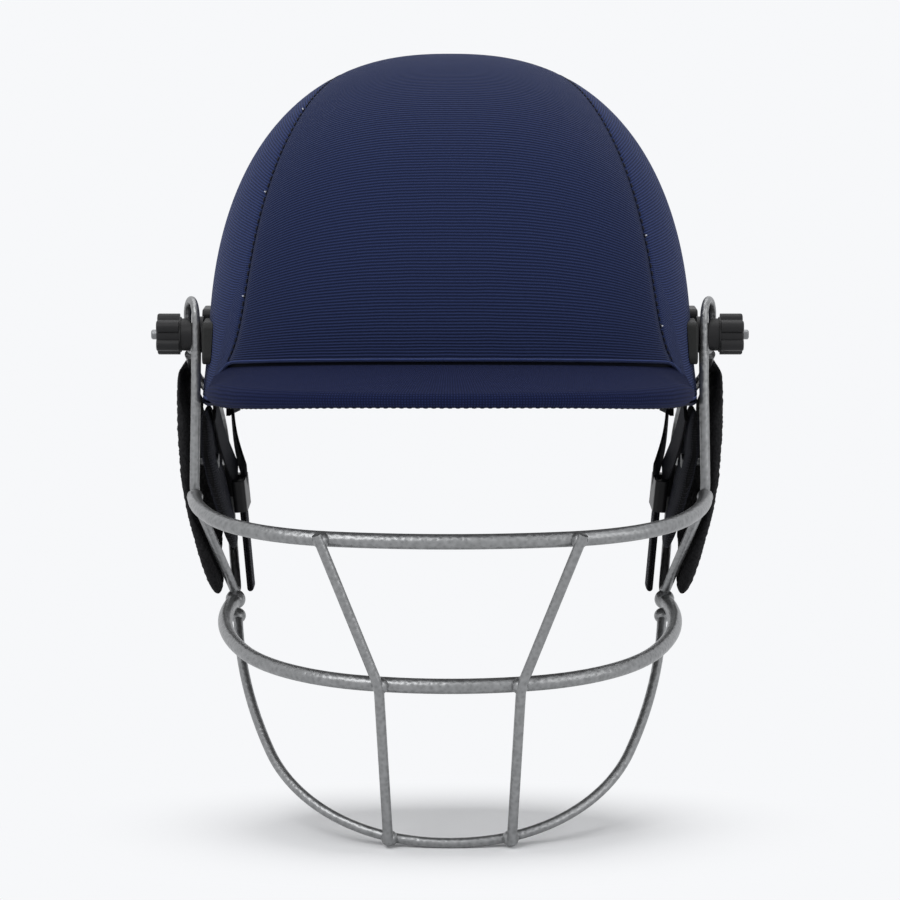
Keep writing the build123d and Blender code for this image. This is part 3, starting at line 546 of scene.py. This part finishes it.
def cloth(name, colour, pitch, weave, roughness=0.85, sheen=0.08, contrast=0.5):
    """Ribbed cloth, or a grid weave: waves of the UV's length, with faint noise in its pitch."""
    material, tree, shader = principled(name)
    place = tree.nodes.new("ShaderNodeTexCoord")
    waves = []
    for direction in ("Y", "X")[: 2 if weave else 1]:
        wave = tree.nodes.new("ShaderNodeTexWave")
        wave.bands_direction = direction
        wave.inputs["Scale"].default_value = math.pi / 10 / pitch
        wave.inputs["Distortion"].default_value = 1.2
        wave.inputs["Detail"].default_value = 1.0
        wave.inputs["Detail Scale"].default_value = 0.35
        tree.links.new(place.outputs["UV"], wave.inputs["Vector"])
        waves.append(wave.outputs["Fac"])
    value = waves[0]
    if weave:
        both = tree.nodes.new("ShaderNodeMath")
        both.operation = "MULTIPLY"
        tree.links.new(waves[0], both.inputs[0])
        tree.links.new(waves[1], both.inputs[1])
        value = both.outputs["Value"]
    coloured(tree, shader, value, scaled(colour, 1 - contrast), scaled(colour, 1 + contrast))
    bumped(tree, shader, value, pitch * 0.35, 0.8)
    set_inputs(shader, Roughness=roughness, Sheen_Weight=sheen, Sheen_Roughness=0.4, Specular_IOR_Level=0.08)
    shader.inputs["Sheen Tint"].default_value = (0.62, 0.66, 0.9, 1)
    return material


def grained(name, colour, roughness, size, depth, contrast=0.2, metallic=0.0, cells=False, shine=0.2):
    """Moulded, coated or looped surface: noise or rounded cells of the place in the object."""
    material, tree, shader = principled(name)
    place = tree.nodes.new("ShaderNodeTexCoord")
    grain = tree.nodes.new("ShaderNodeTexVoronoi" if cells else "ShaderNodeTexNoise")
    grain.inputs["Scale"].default_value = 1 / size
    if cells:
        grain.feature = "SMOOTH_F1"
    tree.links.new(place.outputs["Object"], grain.inputs["Vector"])
    value = grain.outputs["Distance" if cells else "Fac"]
    coloured(tree, shader, value, scaled(colour, 1 - contrast), scaled(colour, 1 + contrast))
    bumped(tree, shader, value, depth)
    set_inputs(shader, Roughness=roughness, Metallic=metallic, Specular_IOR_Level=shine)
    return material


def finish_nodes(material, *names):
    """Gives CAD nodes a material in place of their own."""
    for name in names:
        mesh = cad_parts[name].data
        mesh.materials.clear()
        mesh.materials.append(material)


def both_sides(*names):
    """Left and right node names."""
    return [f"{side}_{name}" for name in names for side, _ in SIDES]


class HELMET_OT_finishes(bpy.types.Operator):
    """Coats the wire grille and finishes the clamps, blocks, shell and sliders."""

    bl_idname = "helmet.finishes"
    bl_label = "Hard finishes"

    def execute(self, context):
        steel, black = settings().steel, settings().black
        grille = grained(
            "Grille coat", steel, 0.36, 0.0016, 0.00022, contrast=0.25, metallic=0.75, cells=True
        )
        finish_nodes(grille, "top_bar", "middle_bar", "chin_bar", "weld_beads")
        finish_nodes(grille, *both_sides("upright", "side_frame"))
        bright = grained("Clamp steel", (0.20, 0.205, 0.21), 0.36, 0.003, 0.00004, contrast=0.1, metallic=1.0)
        finish_nodes(bright, "ear_rivets", "strap_rivets")
        finish_nodes(bright, *both_sides("grille_screw", "knob_nut"))
        knobs = grained("Knob plastic", black, 0.42, 0.002, 0.00004)
        finish_nodes(knobs, *both_sides("knob", "washer", "slot_bush", "wedge_washer"))
        finish_nodes(knobs, *both_sides("stay_sleeve", "strap_slider", "anchor_plate"))
        block = grained("Block plastic", (0.012, 0.0125, 0.012), 0.5, 0.0015, 0.00006)
        finish_nodes(block, *both_sides("side_block"))
        shell = grained("Shell plastic", (0.005, 0.006, 0.010), 0.7, 0.0012, 0.00005, shine=0.03)
        finish_nodes(shell, "outer_shell")
        edging = grained("Edging rubber", (0.010, 0.012, 0.026), 0.7, 0.001, 0.00006, shine=0.08)
        finish_nodes(edging, "rim_edging")
        foam = grained(
            "Liner foam", (0.028, 0.029, 0.032), 0.9, 0.0028, 0.00030, contrast=0.35, cells=True, shine=0.08
        )
        finish_nodes(foam, "foam_liner")
        board = grained("Peak board", (0.02, 0.02, 0.025), 0.7, 0.003, 0.00005)
        finish_nodes(board, "peak_core")
        return {"FINISHED"}


def cloth_faces(face, gap):
    """Both faces of the cloth from its dome face and each point's gap to the seam.

    At the seam it sinks by dip * exp(-(gap / width)^2).
    """
    s = settings()
    dip = s.seam_dip * np.exp(-((gap / SEAM_DIP_WIDTH) ** 2))
    face = face - outward(face, COVER_CENTRE) * dip[..., None]
    return face, face - outward(face, COVER_CENTRE) * s.cover_thickness


def side_patch(columns, rows):
    """Side panel on the right from rim to seam, with its rim and its seam.

    Straight lines in side view join the two, and x is the half width of the dome there.
    """
    turns = np.linspace(turn_at_hem(1.0, *FRONT_TURNS), turn_at_hem(1.0, *REAR_TURNS), 700)
    seam = even(on_dome(np.interp(turns, SEAM_TURNS, SEAM_WIDTHS), turns), columns)
    y = np.linspace(seam[0, 1], seam[-1, 1], 700)
    z = hem_height(y)
    rim = even(np.stack([half_width(y, z), y, z], axis=-1), columns)
    rise = np.linspace(0, 1, 500)[:, None, None]
    patch = rim * (1 - rise) + seam * rise
    patch[..., 0] = half_width(patch[..., 1], patch[..., 2])
    patch[-1] = seam
    return np.stack([even(patch[:, k], rows) for k in range(columns)], axis=1), rim, seam


class HELMET_OT_cover(bpy.types.Operator):
    """Stretches the three cloth panels over the shell and rolls the front hem.

    Crown: x = share * seam(turn), with the turn from hem to rim. Sides: as side_patch gives them.
    """

    bl_idname = "helmet.cover"
    bl_label = "Cloth cover"

    def execute(self, context):
        s = settings()
        rib = cloth("Cover cloth", s.navy, s.rib_pitch, weave=False)
        # The side panels take the crown's navy made 1.4 times lighter: painted light, where light falls on
        # the sides.
        lit_side_rib = cloth("Side cloth painted lighter", scaled(s.navy, 1.4), s.rib_pitch, weave=False)
        share = np.linspace(-1, 1, 81) * (1 - PANEL_GAP / SEAM_MIDDLE)
        front, rear = turn_at_hem(share, *FRONT_TURNS), turn_at_hem(share, *REAR_TURNS)
        turn = front + (rear - front) * np.linspace(0, 1, 200)[:, None]
        width = np.interp(turn, SEAM_TURNS, SEAM_WIDTHS)
        face, back = cloth_faces(on_dome(share * width, turn), (1 - np.abs(share)) * width)
        crown = new_piece(
            "crown_panel_cloth", [wall(face, back, grid_uv(face))], "helmet", rib,
            ("cover_crown_panel",),
        )

        columns = 170
        middle = columns // 2
        face, rim, seam = side_patch(columns, 70)
        face, back = cloth_faces(face, np.linalg.norm(face - face[-1:], axis=-1))
        uv = np.stack([face[..., 1], arc_length(face[:, middle])[:, None] + 0 * face[..., 1]], axis=-1)
        height = np.linalg.norm(seam - rim, axis=-1)
        uv[..., 1] = uv[..., 1] * height / height[middle]
        for name, side in SIDES:
            flip = np.array([side, 1, 1])
            panel = new_piece(
                f"{name}_side_panel_cloth", [wall(face * flip, back * flip, uv)], "helmet",
                lit_side_rib, (f"{name}_cover_side_panel",),
            )

        thread = grained("Seam thread", (0.004, 0.005, 0.012), 0.7, 0.001, 0.00005)
        light_speck_thread = grained("Light stitch specks", (0.55, 0.57, 0.62), 0.7, 0.001, 0.00005)
        count = int(arc_length(seam)[-1] / s.stitch_pitch)
        row = even(seam, count)[1:-1]
        along = unit(np.gradient(row, axis=0))
        over = row - COVER_CENTRE
        over = unit(over - along * np.sum(over * along, axis=1, keepdims=True))
        stitches, ends = [], []
        for _, side in SIDES:
            flip = np.array([side, 1, 1])
            stitches += beads((row - over * 0.0003) * flip, along * flip, over * flip, *STITCH_SIZE)
            # A few stitches carry a light grey bead standing off the cloth: the light specks on the dark
            # seam.
            speck_run = LIGHT_SPECK_STITCHES[side]
            raised = (row[speck_run] + over[speck_run] * 0.0002) * flip
            ends += beads(raised, over[speck_run] * flip, along[speck_run] * flip, *LIGHT_SPECK_SIZE)
        new_piece("seam_stitches", stitches, "helmet", thread)
        new_piece("seam_light_specks", ends, "helmet", light_speck_thread)

        hem = on_dome(share * np.interp(front, SEAM_TURNS, SEAM_WIDTHS), front)
        # The rolled hem takes the navy made twice as light: a painted highlight along the roll.
        hem_highlight_cloth = cloth("Hem cloth painted highlight", scaled(s.navy, 2.0), s.rib_pitch, weave=False)
        beside = rim[rim[:, 1] < PIVOT_Y - HEM_END_AHEAD]
        path = np.concatenate([(beside * np.array([-1, 1, 1]))[:0:-1], hem, beside[1:]])
        roll = tube(even(path, 240), s.hem_radius)
        new_piece("front_hem_roll", [roll], "helmet", hem_highlight_cloth)
        return {"FINISHED"}


def corner(x, size):
    """Fall of a quarter circle over the last of a run of x: size * (1 - (1 - share^2)^(1/2))."""
    share = np.clip((x - x.max()) / size + 1, 0, 1)
    return size * (1 - np.sqrt(1 - share**2))


def peak_grid(turn):
    """Section of the peak at each turn from its right end round to its left end.

    The front edge follows a superellipse in plan, reach = (|cos|/a)^p + (sin/b)^p to the power -1/p.
    The ends are rounded in front view by quarter circles above and below.
    Returns places out from the peak's middle and heights, one closed section for each turn.
    """
    inside = np.clip(turn, 0, math.pi)
    past = np.abs(turn - inside) / PEAK_END_TURN
    cos, sin = np.abs(np.cos(inside)), np.sin(inside)
    outer = ((cos / PEAK_HALF_WIDTH) ** PEAK_POWER + (sin / PEAK_LENGTH) ** PEAK_POWER) ** (-1 / PEAK_POWER)
    share = (cos * outer / PEAK_HALF_WIDTH) ** LIP_POWER
    root = dome_reach(turn, np.zeros(turn.shape))
    hem_y = WIDEST_Y - PEAK_AHEAD - np.sin(turn) * root
    slope = (HEM_LINE[1, 1] - HEM_LINE[0, 1]) / (HEM_LINE[1, 0] - HEM_LINE[0, 0])
    root_top = HEM_LINE[0, 1] + slope * (hem_y - WIDEST_Y - HEM_LINE[0, 0]) - PEAK_UNDER_HEM
    root_bottom = root_top - (NOSE_HEIGHT + (END_HEIGHT - NOSE_HEIGHT) * share)
    lip_bottom = LIP_RISE - LIP_DROP * share
    lip_top = lip_bottom + NOSE_HEIGHT + (LIP_END_HEIGHT - NOSE_HEIGHT) * share
    lip_drop, lip_lift = [corner(cos * outer, size) for size in END_ROUNDS]
    root_drop, root_lift = [corner(cos * root, size) for size in END_ROUNDS]
    root_top, lip_top = root_top - root_drop, lip_top - lip_drop
    root_bottom, lip_bottom = root_bottom + root_lift, lip_bottom + lip_lift
    outer = root + (outer - root) * np.sqrt(np.maximum(1 - past**2, 0)) + PEAK_EASE
    height = lip_top - lip_bottom
    nose = np.linspace(-np.pi / 2, np.pi / 2, NOSE_STEPS)
    bulge = NOSE_BULGE * height[:, None]
    nose_out = np.maximum(outer[:, None] - bulge, root[:, None]) + bulge * np.cos(nose)
    nose_out = np.minimum(nose_out, outer[:, None])
    nose_rise = (lip_top + lip_bottom)[:, None] / 2 + 0.5 * height[:, None] * np.sin(nose)
    run = np.linspace(0, 1, UNDER_STEPS + 1)[:-1]
    low_root, top_root = dome_reach(turn, root_bottom), dome_reach(turn, root_top)
    under = low_root[:, None] + (nose_out[:, :1] - low_root[:, None]) * run
    under_rise = root_bottom[:, None] + (lip_bottom - root_bottom)[:, None] * run
    top = nose_out[:, -1:] + (top_root[:, None] - nose_out[:, -1:]) * run
    top_rise = lip_top[:, None] + (root_top - lip_top)[:, None] * run + PEAK_CROWN * np.sin(np.pi * run)
    back = np.linspace(0, 1, 5)
    back_rise = root_top[:, None] + (root_bottom - root_top)[:, None] * back
    back_out = top_root[:, None] + (low_root - top_root)[:, None] * back
    out = np.concatenate([under, nose_out, top[:, 1:], back_out[:, :-1]], axis=1)
    rise = np.concatenate([under_rise, nose_rise, top_rise[:, 1:], back_rise[:, :-1]], axis=1)
    return out, rise


def dome_reach(turn, rise):
    """Distance from the peak's middle along a turn to the dome under the cloth, by halving."""
    near, far = np.full(turn.shape, 0.02), np.full(turn.shape, 0.14)
    for _ in range(34):
        reach = (near + far) / 2
        x, back = reach * np.cos(turn), -PEAK_AHEAD - reach * np.sin(turn)
        inside = plan_size(x, back, PEAK_SEAT) < level_size(rise, PEAK_SEAT)
        near, far = np.where(inside, reach, near), np.where(inside, far, reach)
    return (near + far) / 2


def peak_points(turn, out, rise):
    """Points of the peak from their turns, places out from its middle and heights."""
    across = turn[:, None]
    y = WIDEST_Y - PEAK_AHEAD - out * np.sin(across)
    return np.stack([out * np.cos(across), y, WIDEST_Z + rise], axis=-1)


class HELMET_OT_peak(bpy.types.Operator):
    """Sews the padded peak: a cloth cover round its board, a lining underneath and a stitched edge."""

    bl_idname = "helmet.peak"
    bl_label = "Peak"

    def execute(self, context):
        s = settings()
        turn = np.linspace(-PEAK_END_TURN, math.pi + PEAK_END_TURN, 181)
        points = peak_points(turn, *peak_grid(turn))
        steps = np.diff(points, axis=1, append=points[:, :1])
        round_path = np.cumsum(np.linalg.norm(steps, axis=-1).mean(axis=0))
        edge_path = arc_length(points[:, EDGE_COLUMN])
        uv = np.stack(np.broadcast_arrays(edge_path[:, None], round_path), axis=-1)
        grid = cloth("Peak cloth", (0.0085, 0.0135, 0.0520), 0.0011, weave=True, sheen=0.02)
        cover = new_piece(
            "peak_cover_cloth", [round_wall(points, uv)], "helmet", grid, ("peak_cover",)
        )

        inner = np.linspace(*PEAK_LINING_TURNS, 90)
        face = peak_points(inner, *peak_grid(inner))[:, PEAK_LINING_RUN] - PEAK_LINING_BELOW * UP
        back = face + PEAK_LINING_THICKNESS * UP
        lining_cloth = cloth("Peak lining cloth", scaled(s.navy, 0.6), 0.0009, weave=True)
        lining = new_piece(
            "peak_lining_cloth", [wall(face, back, grid_uv(face))], "helmet",
            lining_cloth, ("peak_lining",),
        )

        low = points[8:-8, STITCH_COLUMN]
        row = even(low, int(arc_length(low)[-1] / s.stitch_pitch))
        along = unit(np.gradient(row, axis=0))
        over = np.cross(along, UP)
        over *= np.sign(np.sum(over * (row - np.array([0, WIDEST_Y, WIDEST_Z])), axis=1, keepdims=True))
        over = unit(over - 0.6 * UP)
        thread = bpy.data.materials["Seam thread"]
        parts = beads(row + over * 0.0001, along, over, *EDGE_STITCH_SIZE)
        new_piece("peak_edge_stitches", parts, "helmet", thread)
        return {"FINISHED"}


def squircle(half_u, half_v, count=160):
    """Rounded rectangle |u/a|^5 + |v/b|^5 = 1."""
    turn = np.linspace(0, 2 * np.pi, count, endpoint=False)
    size = (np.abs(np.cos(turn)) ** 5 + np.abs(np.sin(turn)) ** 5) ** (-1 / 5)
    return half_u * np.cos(turn) * size, half_v * np.sin(turn) * size


class HELMET_OT_liner_pads(bpy.types.Operator):
    """Places the crowned comfort pads inside the foam: brow, nape, crown and both sides.

    Each is a rounded rectangle laid on the dome's superellipse, thickest in its middle.
    """

    bl_idname = "helmet.liner_pads"
    bl_label = "Comfort pads"

    def execute(self, context):
        pads = cloth("Pad cloth", settings().black, 0.0010, weave=True, contrast=0.4)
        depth = {-1: PAD_OUTER, 1: PAD_OUTER + PAD_THICKNESS}

        def level(y, v):
            return rim_height(y) + PAD_SETBACK + PAD_HALF_HEIGHT + v

        def end_pad(sign):
            def place(u, v, side):
                z = level(WIDEST_Y + sign * (FRONT_LENGTH if sign < 0 else REAR_LENGTH), v)
                return np.stack([u, WIDEST_Y + sign * half_length(u, z, sign, depth[side]), z], axis=-1)
            return place

        def side_pad(flip):
            def place(u, v, side):
                y = WIDEST_Y + SIDE_PAD_BEHIND + u
                z = level(y, v)
                return np.stack([flip * half_width(y, z, depth[side]), y, z], axis=-1)
            return place

        def crown_place(u, v, side):
            turn = np.pi / 2 + v / (DOME_HEIGHT - depth[side])
            return on_dome(u, turn, depth[side])

        pieces = [
            ("brow_pad_cushion", squircle(0.064, PAD_HALF_HEIGHT), end_pad(-1), "brow_pad"),
            ("rear_pad_cushion", squircle(0.048, PAD_HALF_HEIGHT), end_pad(1), "rear_pad"),
            ("crown_pad_cushion", squircle(0.040, 0.040), crown_place, "crown_pad"),
            ("left_side_pad_cushion", squircle(0.037, PAD_HALF_HEIGHT), side_pad(-1), "left_side_pad"),
            ("right_side_pad_cushion", squircle(0.037, PAD_HALF_HEIGHT), side_pad(1), "right_side_pad"),
        ]
        for name, (u, v), place, node in pieces:
            pad = new_piece(name, cushion(u, v, place, 26, 7), "helmet", pads, (node,))
        return {"FINISHED"}


def profile(points, rise):
    """Distance out of the block's face at a height above the pivot."""
    table = np.array(points)[::-1]
    return np.interp(rise, table[:, 0], table[:, 1])


class HELMET_OT_ear_pads(bpy.types.Operator):
    """Hangs the looped ear pads outside the temples and their linings inside.

    Faces are the pad's outline between two profiles by height, rounded at the edge and raised in loops.
    Behind the lining the pad bows in by bow * smooth(behind) * smooth(below).
    """

    bl_idname = "helmet.ear_pads"
    bl_label = "Ear pads"

    def execute(self, context):
        s = settings()
        pile = grained("Ear pile", s.black, 0.95, 0.0010, 0.0005, 0.6, cells=True, shine=0.08)
        plain = cloth("Ear lining cloth", scaled(s.black, 0.8), 0.0010, weave=True)

        def hung(outer, inner, flip):
            def place(u, v, side):
                x = BLOCK_FACE + (profile(outer, v) if side > 0 else inner(v))
                behind = smooth((u - EAR_BOW_START[0]) / EAR_BOW_RUN[0])
                below = smooth((EAR_BOW_START[1] - v) / EAR_BOW_RUN[1])
                x = x - EAR_BOW * behind * below
                return np.stack([flip * x, PIVOT_Y + u, PIVOT_Z + v], axis=-1)
            return place

        for name, flip in SIDES:
            u, v = rounded(EAR_OUTLINE, 0.008, 330)
            place = hung(EAR_OUTER, lambda rise: profile(EAR_INNER, rise), flip)
            pad = new_piece(
                f"{name}_ear_pad_pile", cushion(u, v, place, 44, 9, s.pile_height), "grille",
                pile, (f"{name}_ear_pad",),
            )
            u, v = rounded(LINING_OUTLINE, 0.007, 160)
            place = hung(LINING_OUTER, lambda rise: profile(LINING_OUTER, rise) - LINING_THICKNESS, flip)
            lining = new_piece(
                f"{name}_ear_lining_cushion", cushion(u, v, place, 22, 6), "grille",
                plain, (f"{name}_ear_lining",),
            )
        return {"FINISHED"}


def webbing_strip(path, side, width, thickness):
    """Woven strap along a path, closed at both ends.

    Its section is |cos|^0.45 of half the width by |sin|^0.6 of half the thickness.
    """
    over = unit(np.cross(unit(np.gradient(path, axis=0)), side))
    turn = np.linspace(0, 2 * np.pi, 28, endpoint=False)
    u = np.sign(np.cos(turn)) * np.abs(np.cos(turn)) ** 0.45 * width / 2
    v = np.sign(np.sin(turn)) * np.abs(np.sin(turn)) ** 0.6 * thickness / 2
    points = path[:, None] + side * u[:, None] + over[:, None] * v[:, None]
    ends = [path[:1, None] + 0 * points[:1], path[-1:, None] + 0 * points[:1]]
    points = np.concatenate([ends[0], points, ends[1]])
    length = arc_length(path)
    length = np.concatenate([[0], length, length[-1:]])
    return round_wall(points, np.stack(np.broadcast_arrays(u, length[:, None]), axis=-1))


def square_to(along):
    """Unit vector nearest to straight out of the side and square to a direction."""
    return unit(OUT - along * along[0])


class HELMET_OT_straps(bpy.types.Operator):
    """Threads each chin strap: tabs on the shell, two webs to the slider and a tail folded on itself."""

    bl_idname = "helmet.straps"
    bl_label = "Chin straps"

    def execute(self, context):
        s = settings()
        web = cloth("Webbing", scaled(s.black, 0.7), 0.0011, weave=True, roughness=0.7, contrast=0.6)
        slider = np.array(SLIDER_CENTRE)
        tip = np.array(STRAP_TIP)
        for name, flip in SIDES:
            turned = np.array([flip, 1, 1])
            for end, shift in (("front", 1), ("rear", -1)):
                top = np.array(WEB_TOPS[end])
                foot = slider + np.array([FOOT_SHIFT * shift, 0, SLIDER_HEIGHT / 2 + 0.0006])
                share = np.linspace(0, 1, 60)[:, None]
                path = top + (foot - top) * share
                path[:, 0] += WEB_BOW * np.sin(np.pi * share[:, 0])
                along = unit(foot - top)
                side = np.cross(along, square_to(along))
                piece = new_piece(
                    f"{name}_strap_{end}_webbing",
                    [webbing_strip(path * turned, side * turned, s.web_width, s.web_thickness)],
                    f"{name}_strap", web, (f"{name}_strap_{end}_web",),
                )
                y = np.linspace(top[1] - TAB_WIDTH / 2, top[1] + TAB_WIDTH / 2, 24)
                z = np.linspace(top[2] + 0.0003, top[2] + TAB_HEIGHT, 22)[:, None]
                y, z = np.broadcast_arrays(y, z)
                face = np.stack([half_width(y, z, FOAM_OUTER), y, z], axis=-1)
                back = np.stack([half_width(y, z, FOAM_OUTER + s.web_thickness), y, z], axis=-1)
                tab = new_piece(
                    f"{name}_strap_{end}_tab_webbing", [wall(face * turned, back * turned, grid_uv(face))],
                    "helmet", web, (f"{name}_strap_{end}_tab",),
                )
            down = np.linspace(0, 1, 50)[:, None]
            start = slider + (SLIDER_HEIGHT / 2 - 0.001) * UP
            line = start + (tip + 0.0008 * UP - start) * down
            along = unit(tip - start)
            face = square_to(along)
            half = s.web_thickness / 2 + 0.00003
            bend = np.linspace(-np.pi / 2, np.pi / 2, 9)[1:-1, None]
            hairpin = line[-1] + (face * np.sin(bend) + along * np.cos(bend)) * half
            path = np.concatenate([line - face * half, hairpin, line[::-1] + face * half])
            side = np.cross(along, face)
            tail = new_piece(
                f"{name}_strap_tail_webbing",
                [webbing_strip(path * turned, side * turned, s.web_width, s.web_thickness)],
                f"{name}_strap", web, (f"{name}_strap_tail",),
            )
        return {"FINISHED"}


def seen_or_lit(tree):
    """Mix shader whose second input is what camera, mirror and glass rays meet."""
    path = tree.nodes.new("ShaderNodeLightPath")
    first, second = tree.nodes.new("ShaderNodeMath"), tree.nodes.new("ShaderNodeMath")
    first.operation = second.operation = "MAXIMUM"
    tree.links.new(path.outputs["Is Camera Ray"], first.inputs[0])
    tree.links.new(path.outputs["Is Glossy Ray"], first.inputs[1])
    tree.links.new(first.outputs[0], second.inputs[0])
    tree.links.new(path.outputs["Is Transmission Ray"], second.inputs[1])
    mix = tree.nodes.new("ShaderNodeMixShader")
    tree.links.new(second.outputs[0], mix.inputs[0])
    return mix


def look(place, aim):
    """Angles that point -Z from a place to an aim, with +Y up."""
    x, y, z = (b - a for a, b in zip(place, aim))
    return (math.atan2(math.hypot(x, y), -z), 0, math.atan2(-x, y) if x or y else 0.0)


def light_world(scene):
    """Even light from all round, behind which camera, mirror and glass rays meet plain white."""
    world = bpy.data.worlds.new("Studio")
    world.use_nodes = True
    scene.world = world
    tree = world.node_tree
    tree.nodes.clear()
    mix = seen_or_lit(tree)
    lit, seen = tree.nodes.new("ShaderNodeBackground"), tree.nodes.new("ShaderNodeBackground")
    lit.inputs["Color"].default_value = (1, 1, 1, 1)
    lit.inputs["Strength"].default_value = WORLD_STRENGTH
    seen.inputs["Color"].default_value = WHITE
    out = tree.nodes.new("ShaderNodeOutputWorld")
    tree.links.new(lit.outputs[0], mix.inputs[1])
    tree.links.new(seen.outputs[0], mix.inputs[2])
    tree.links.new(mix.outputs[0], out.inputs["Surface"])


def lay_floor(scene):
    """Pale floor that takes the object's shadow near it and fades to plain white away from it."""
    mesh = bpy.data.meshes.new("floor")
    corners = [(x * FLOOR_HALF, y * FLOOR_HALF, 0) for x, y in ((-1, -1), (1, -1), (1, 1), (-1, 1))]
    mesh.from_pydata(corners, [], [(0, 1, 2, 3)])
    floor = bpy.data.objects.new("floor", mesh)
    scene.collection.objects.link(floor)
    material = bpy.data.materials.new("Floor")
    material.use_nodes = True
    tree = material.node_tree
    tree.nodes.clear()
    place = tree.nodes.new("ShaderNodeTexCoord")
    stretch = tree.nodes.new("ShaderNodeMapping")
    stretch.inputs["Scale"].default_value = SHADOW_SCALE
    stretch.inputs["Location"].default_value = SHADOW_SHIFT
    ball = tree.nodes.new("ShaderNodeTexGradient")
    ball.gradient_type = "QUADRATIC_SPHERE"
    near = tree.nodes.new("ShaderNodeValToRGB")
    near.color_ramp.elements[1].position = 0.35
    plain, glow = tree.nodes.new("ShaderNodeBsdfDiffuse"), tree.nodes.new("ShaderNodeEmission")
    plain.inputs["Color"].default_value = FLOOR_COLOUR
    glow.inputs["Color"].default_value = WHITE
    mix = tree.nodes.new("ShaderNodeMixShader")
    out = tree.nodes.new("ShaderNodeOutputMaterial")
    tree.links.new(place.outputs["Object"], stretch.inputs["Vector"])
    tree.links.new(stretch.outputs["Vector"], ball.inputs["Vector"])
    tree.links.new(ball.outputs["Fac"], near.inputs["Fac"])
    tree.links.new(near.outputs["Color"], mix.inputs[0])
    tree.links.new(glow.outputs[0], mix.inputs[1])
    tree.links.new(plain.outputs[0], mix.inputs[2])
    tree.links.new(mix.outputs[0], out.inputs["Surface"])
    mesh.materials.append(material)
    return floor


def hang_lamp(scene, name, place, aim, size, power):
    """Soft square lamp that points from its place to its aim."""
    lamp = bpy.data.lights.new(name, "AREA")
    lamp.energy = power
    lamp.size = size
    light = bpy.data.objects.new(name, lamp)
    light.location = place
    light.rotation_euler = look(place, aim)
    scene.collection.objects.link(light)
    return light


class HELMET_OT_stage(bpy.types.Operator):
    """Sets the pale floor, the soft lights, the even background and the camera."""

    bl_idname = "helmet.stage"
    bl_label = "Stage"

    def execute(self, context):
        scene = bpy.context.scene
        scene.view_settings.view_transform = "Standard"
        light_world(scene)
        stage = [lay_floor(scene), *(hang_lamp(scene, *lamp) for lamp in LAMPS)]
        camera = bpy.data.objects.new("camera", bpy.data.cameras.new("camera"))
        camera.data.lens = CAMERA_LENS
        camera.data.sensor_width = CAMERA_SENSOR
        x, y, z = CAMERA_AIM
        spot = (x, y - CAMERA_DISTANCE * math.cos(CAMERA_RISE), z + CAMERA_DISTANCE * math.sin(CAMERA_RISE))
        camera.location = spot
        camera.rotation_euler = look(spot, CAMERA_AIM)
        scene.collection.objects.link(camera)
        scene.camera = camera
        return {"FINISHED"}


class HELMET_PT_panel(bpy.types.Panel):
    """Lists the steps of the dressing."""

    bl_label = "Cricket helmet"
    bl_space_type = "VIEW_3D"
    bl_region_type = "UI"
    bl_category = "Helmet"

    def draw(self, context):
        for name in HelmetSettings.__annotations__:
            self.layout.prop(settings(), name)
        for step in STEPS:
            self.layout.operator(step.bl_idname)


STEPS = (
    HELMET_OT_finishes,
    HELMET_OT_cover,
    HELMET_OT_peak,
    HELMET_OT_liner_pads,
    HELMET_OT_ear_pads,
    HELMET_OT_straps,
    HELMET_OT_stage,
)
CLASSES = (HelmetSettings, *STEPS, HELMET_PT_panel)


def register():
    """Adds the classes and the scene's settings."""
    for item in CLASSES:
        bpy.utils.register_class(item)
    bpy.types.Scene.helmet_settings = PointerProperty(type=HelmetSettings)


def unregister():
    """Takes the settings and the classes away again."""
    del bpy.types.Scene.helmet_settings
    for item in reversed(CLASSES):
        bpy.utils.unregister_class(item)


def main():
    """Runs every step in order."""
    register()
    bpy.ops.helmet.finishes()
    bpy.ops.helmet.cover()
    bpy.ops.helmet.peak()
    bpy.ops.helmet.liner_pads()
    bpy.ops.helmet.ear_pads()
    bpy.ops.helmet.straps()
    bpy.ops.helmet.stage()
    bpy.context.view_layer.update()


if __name__ == "__main__":
    main()
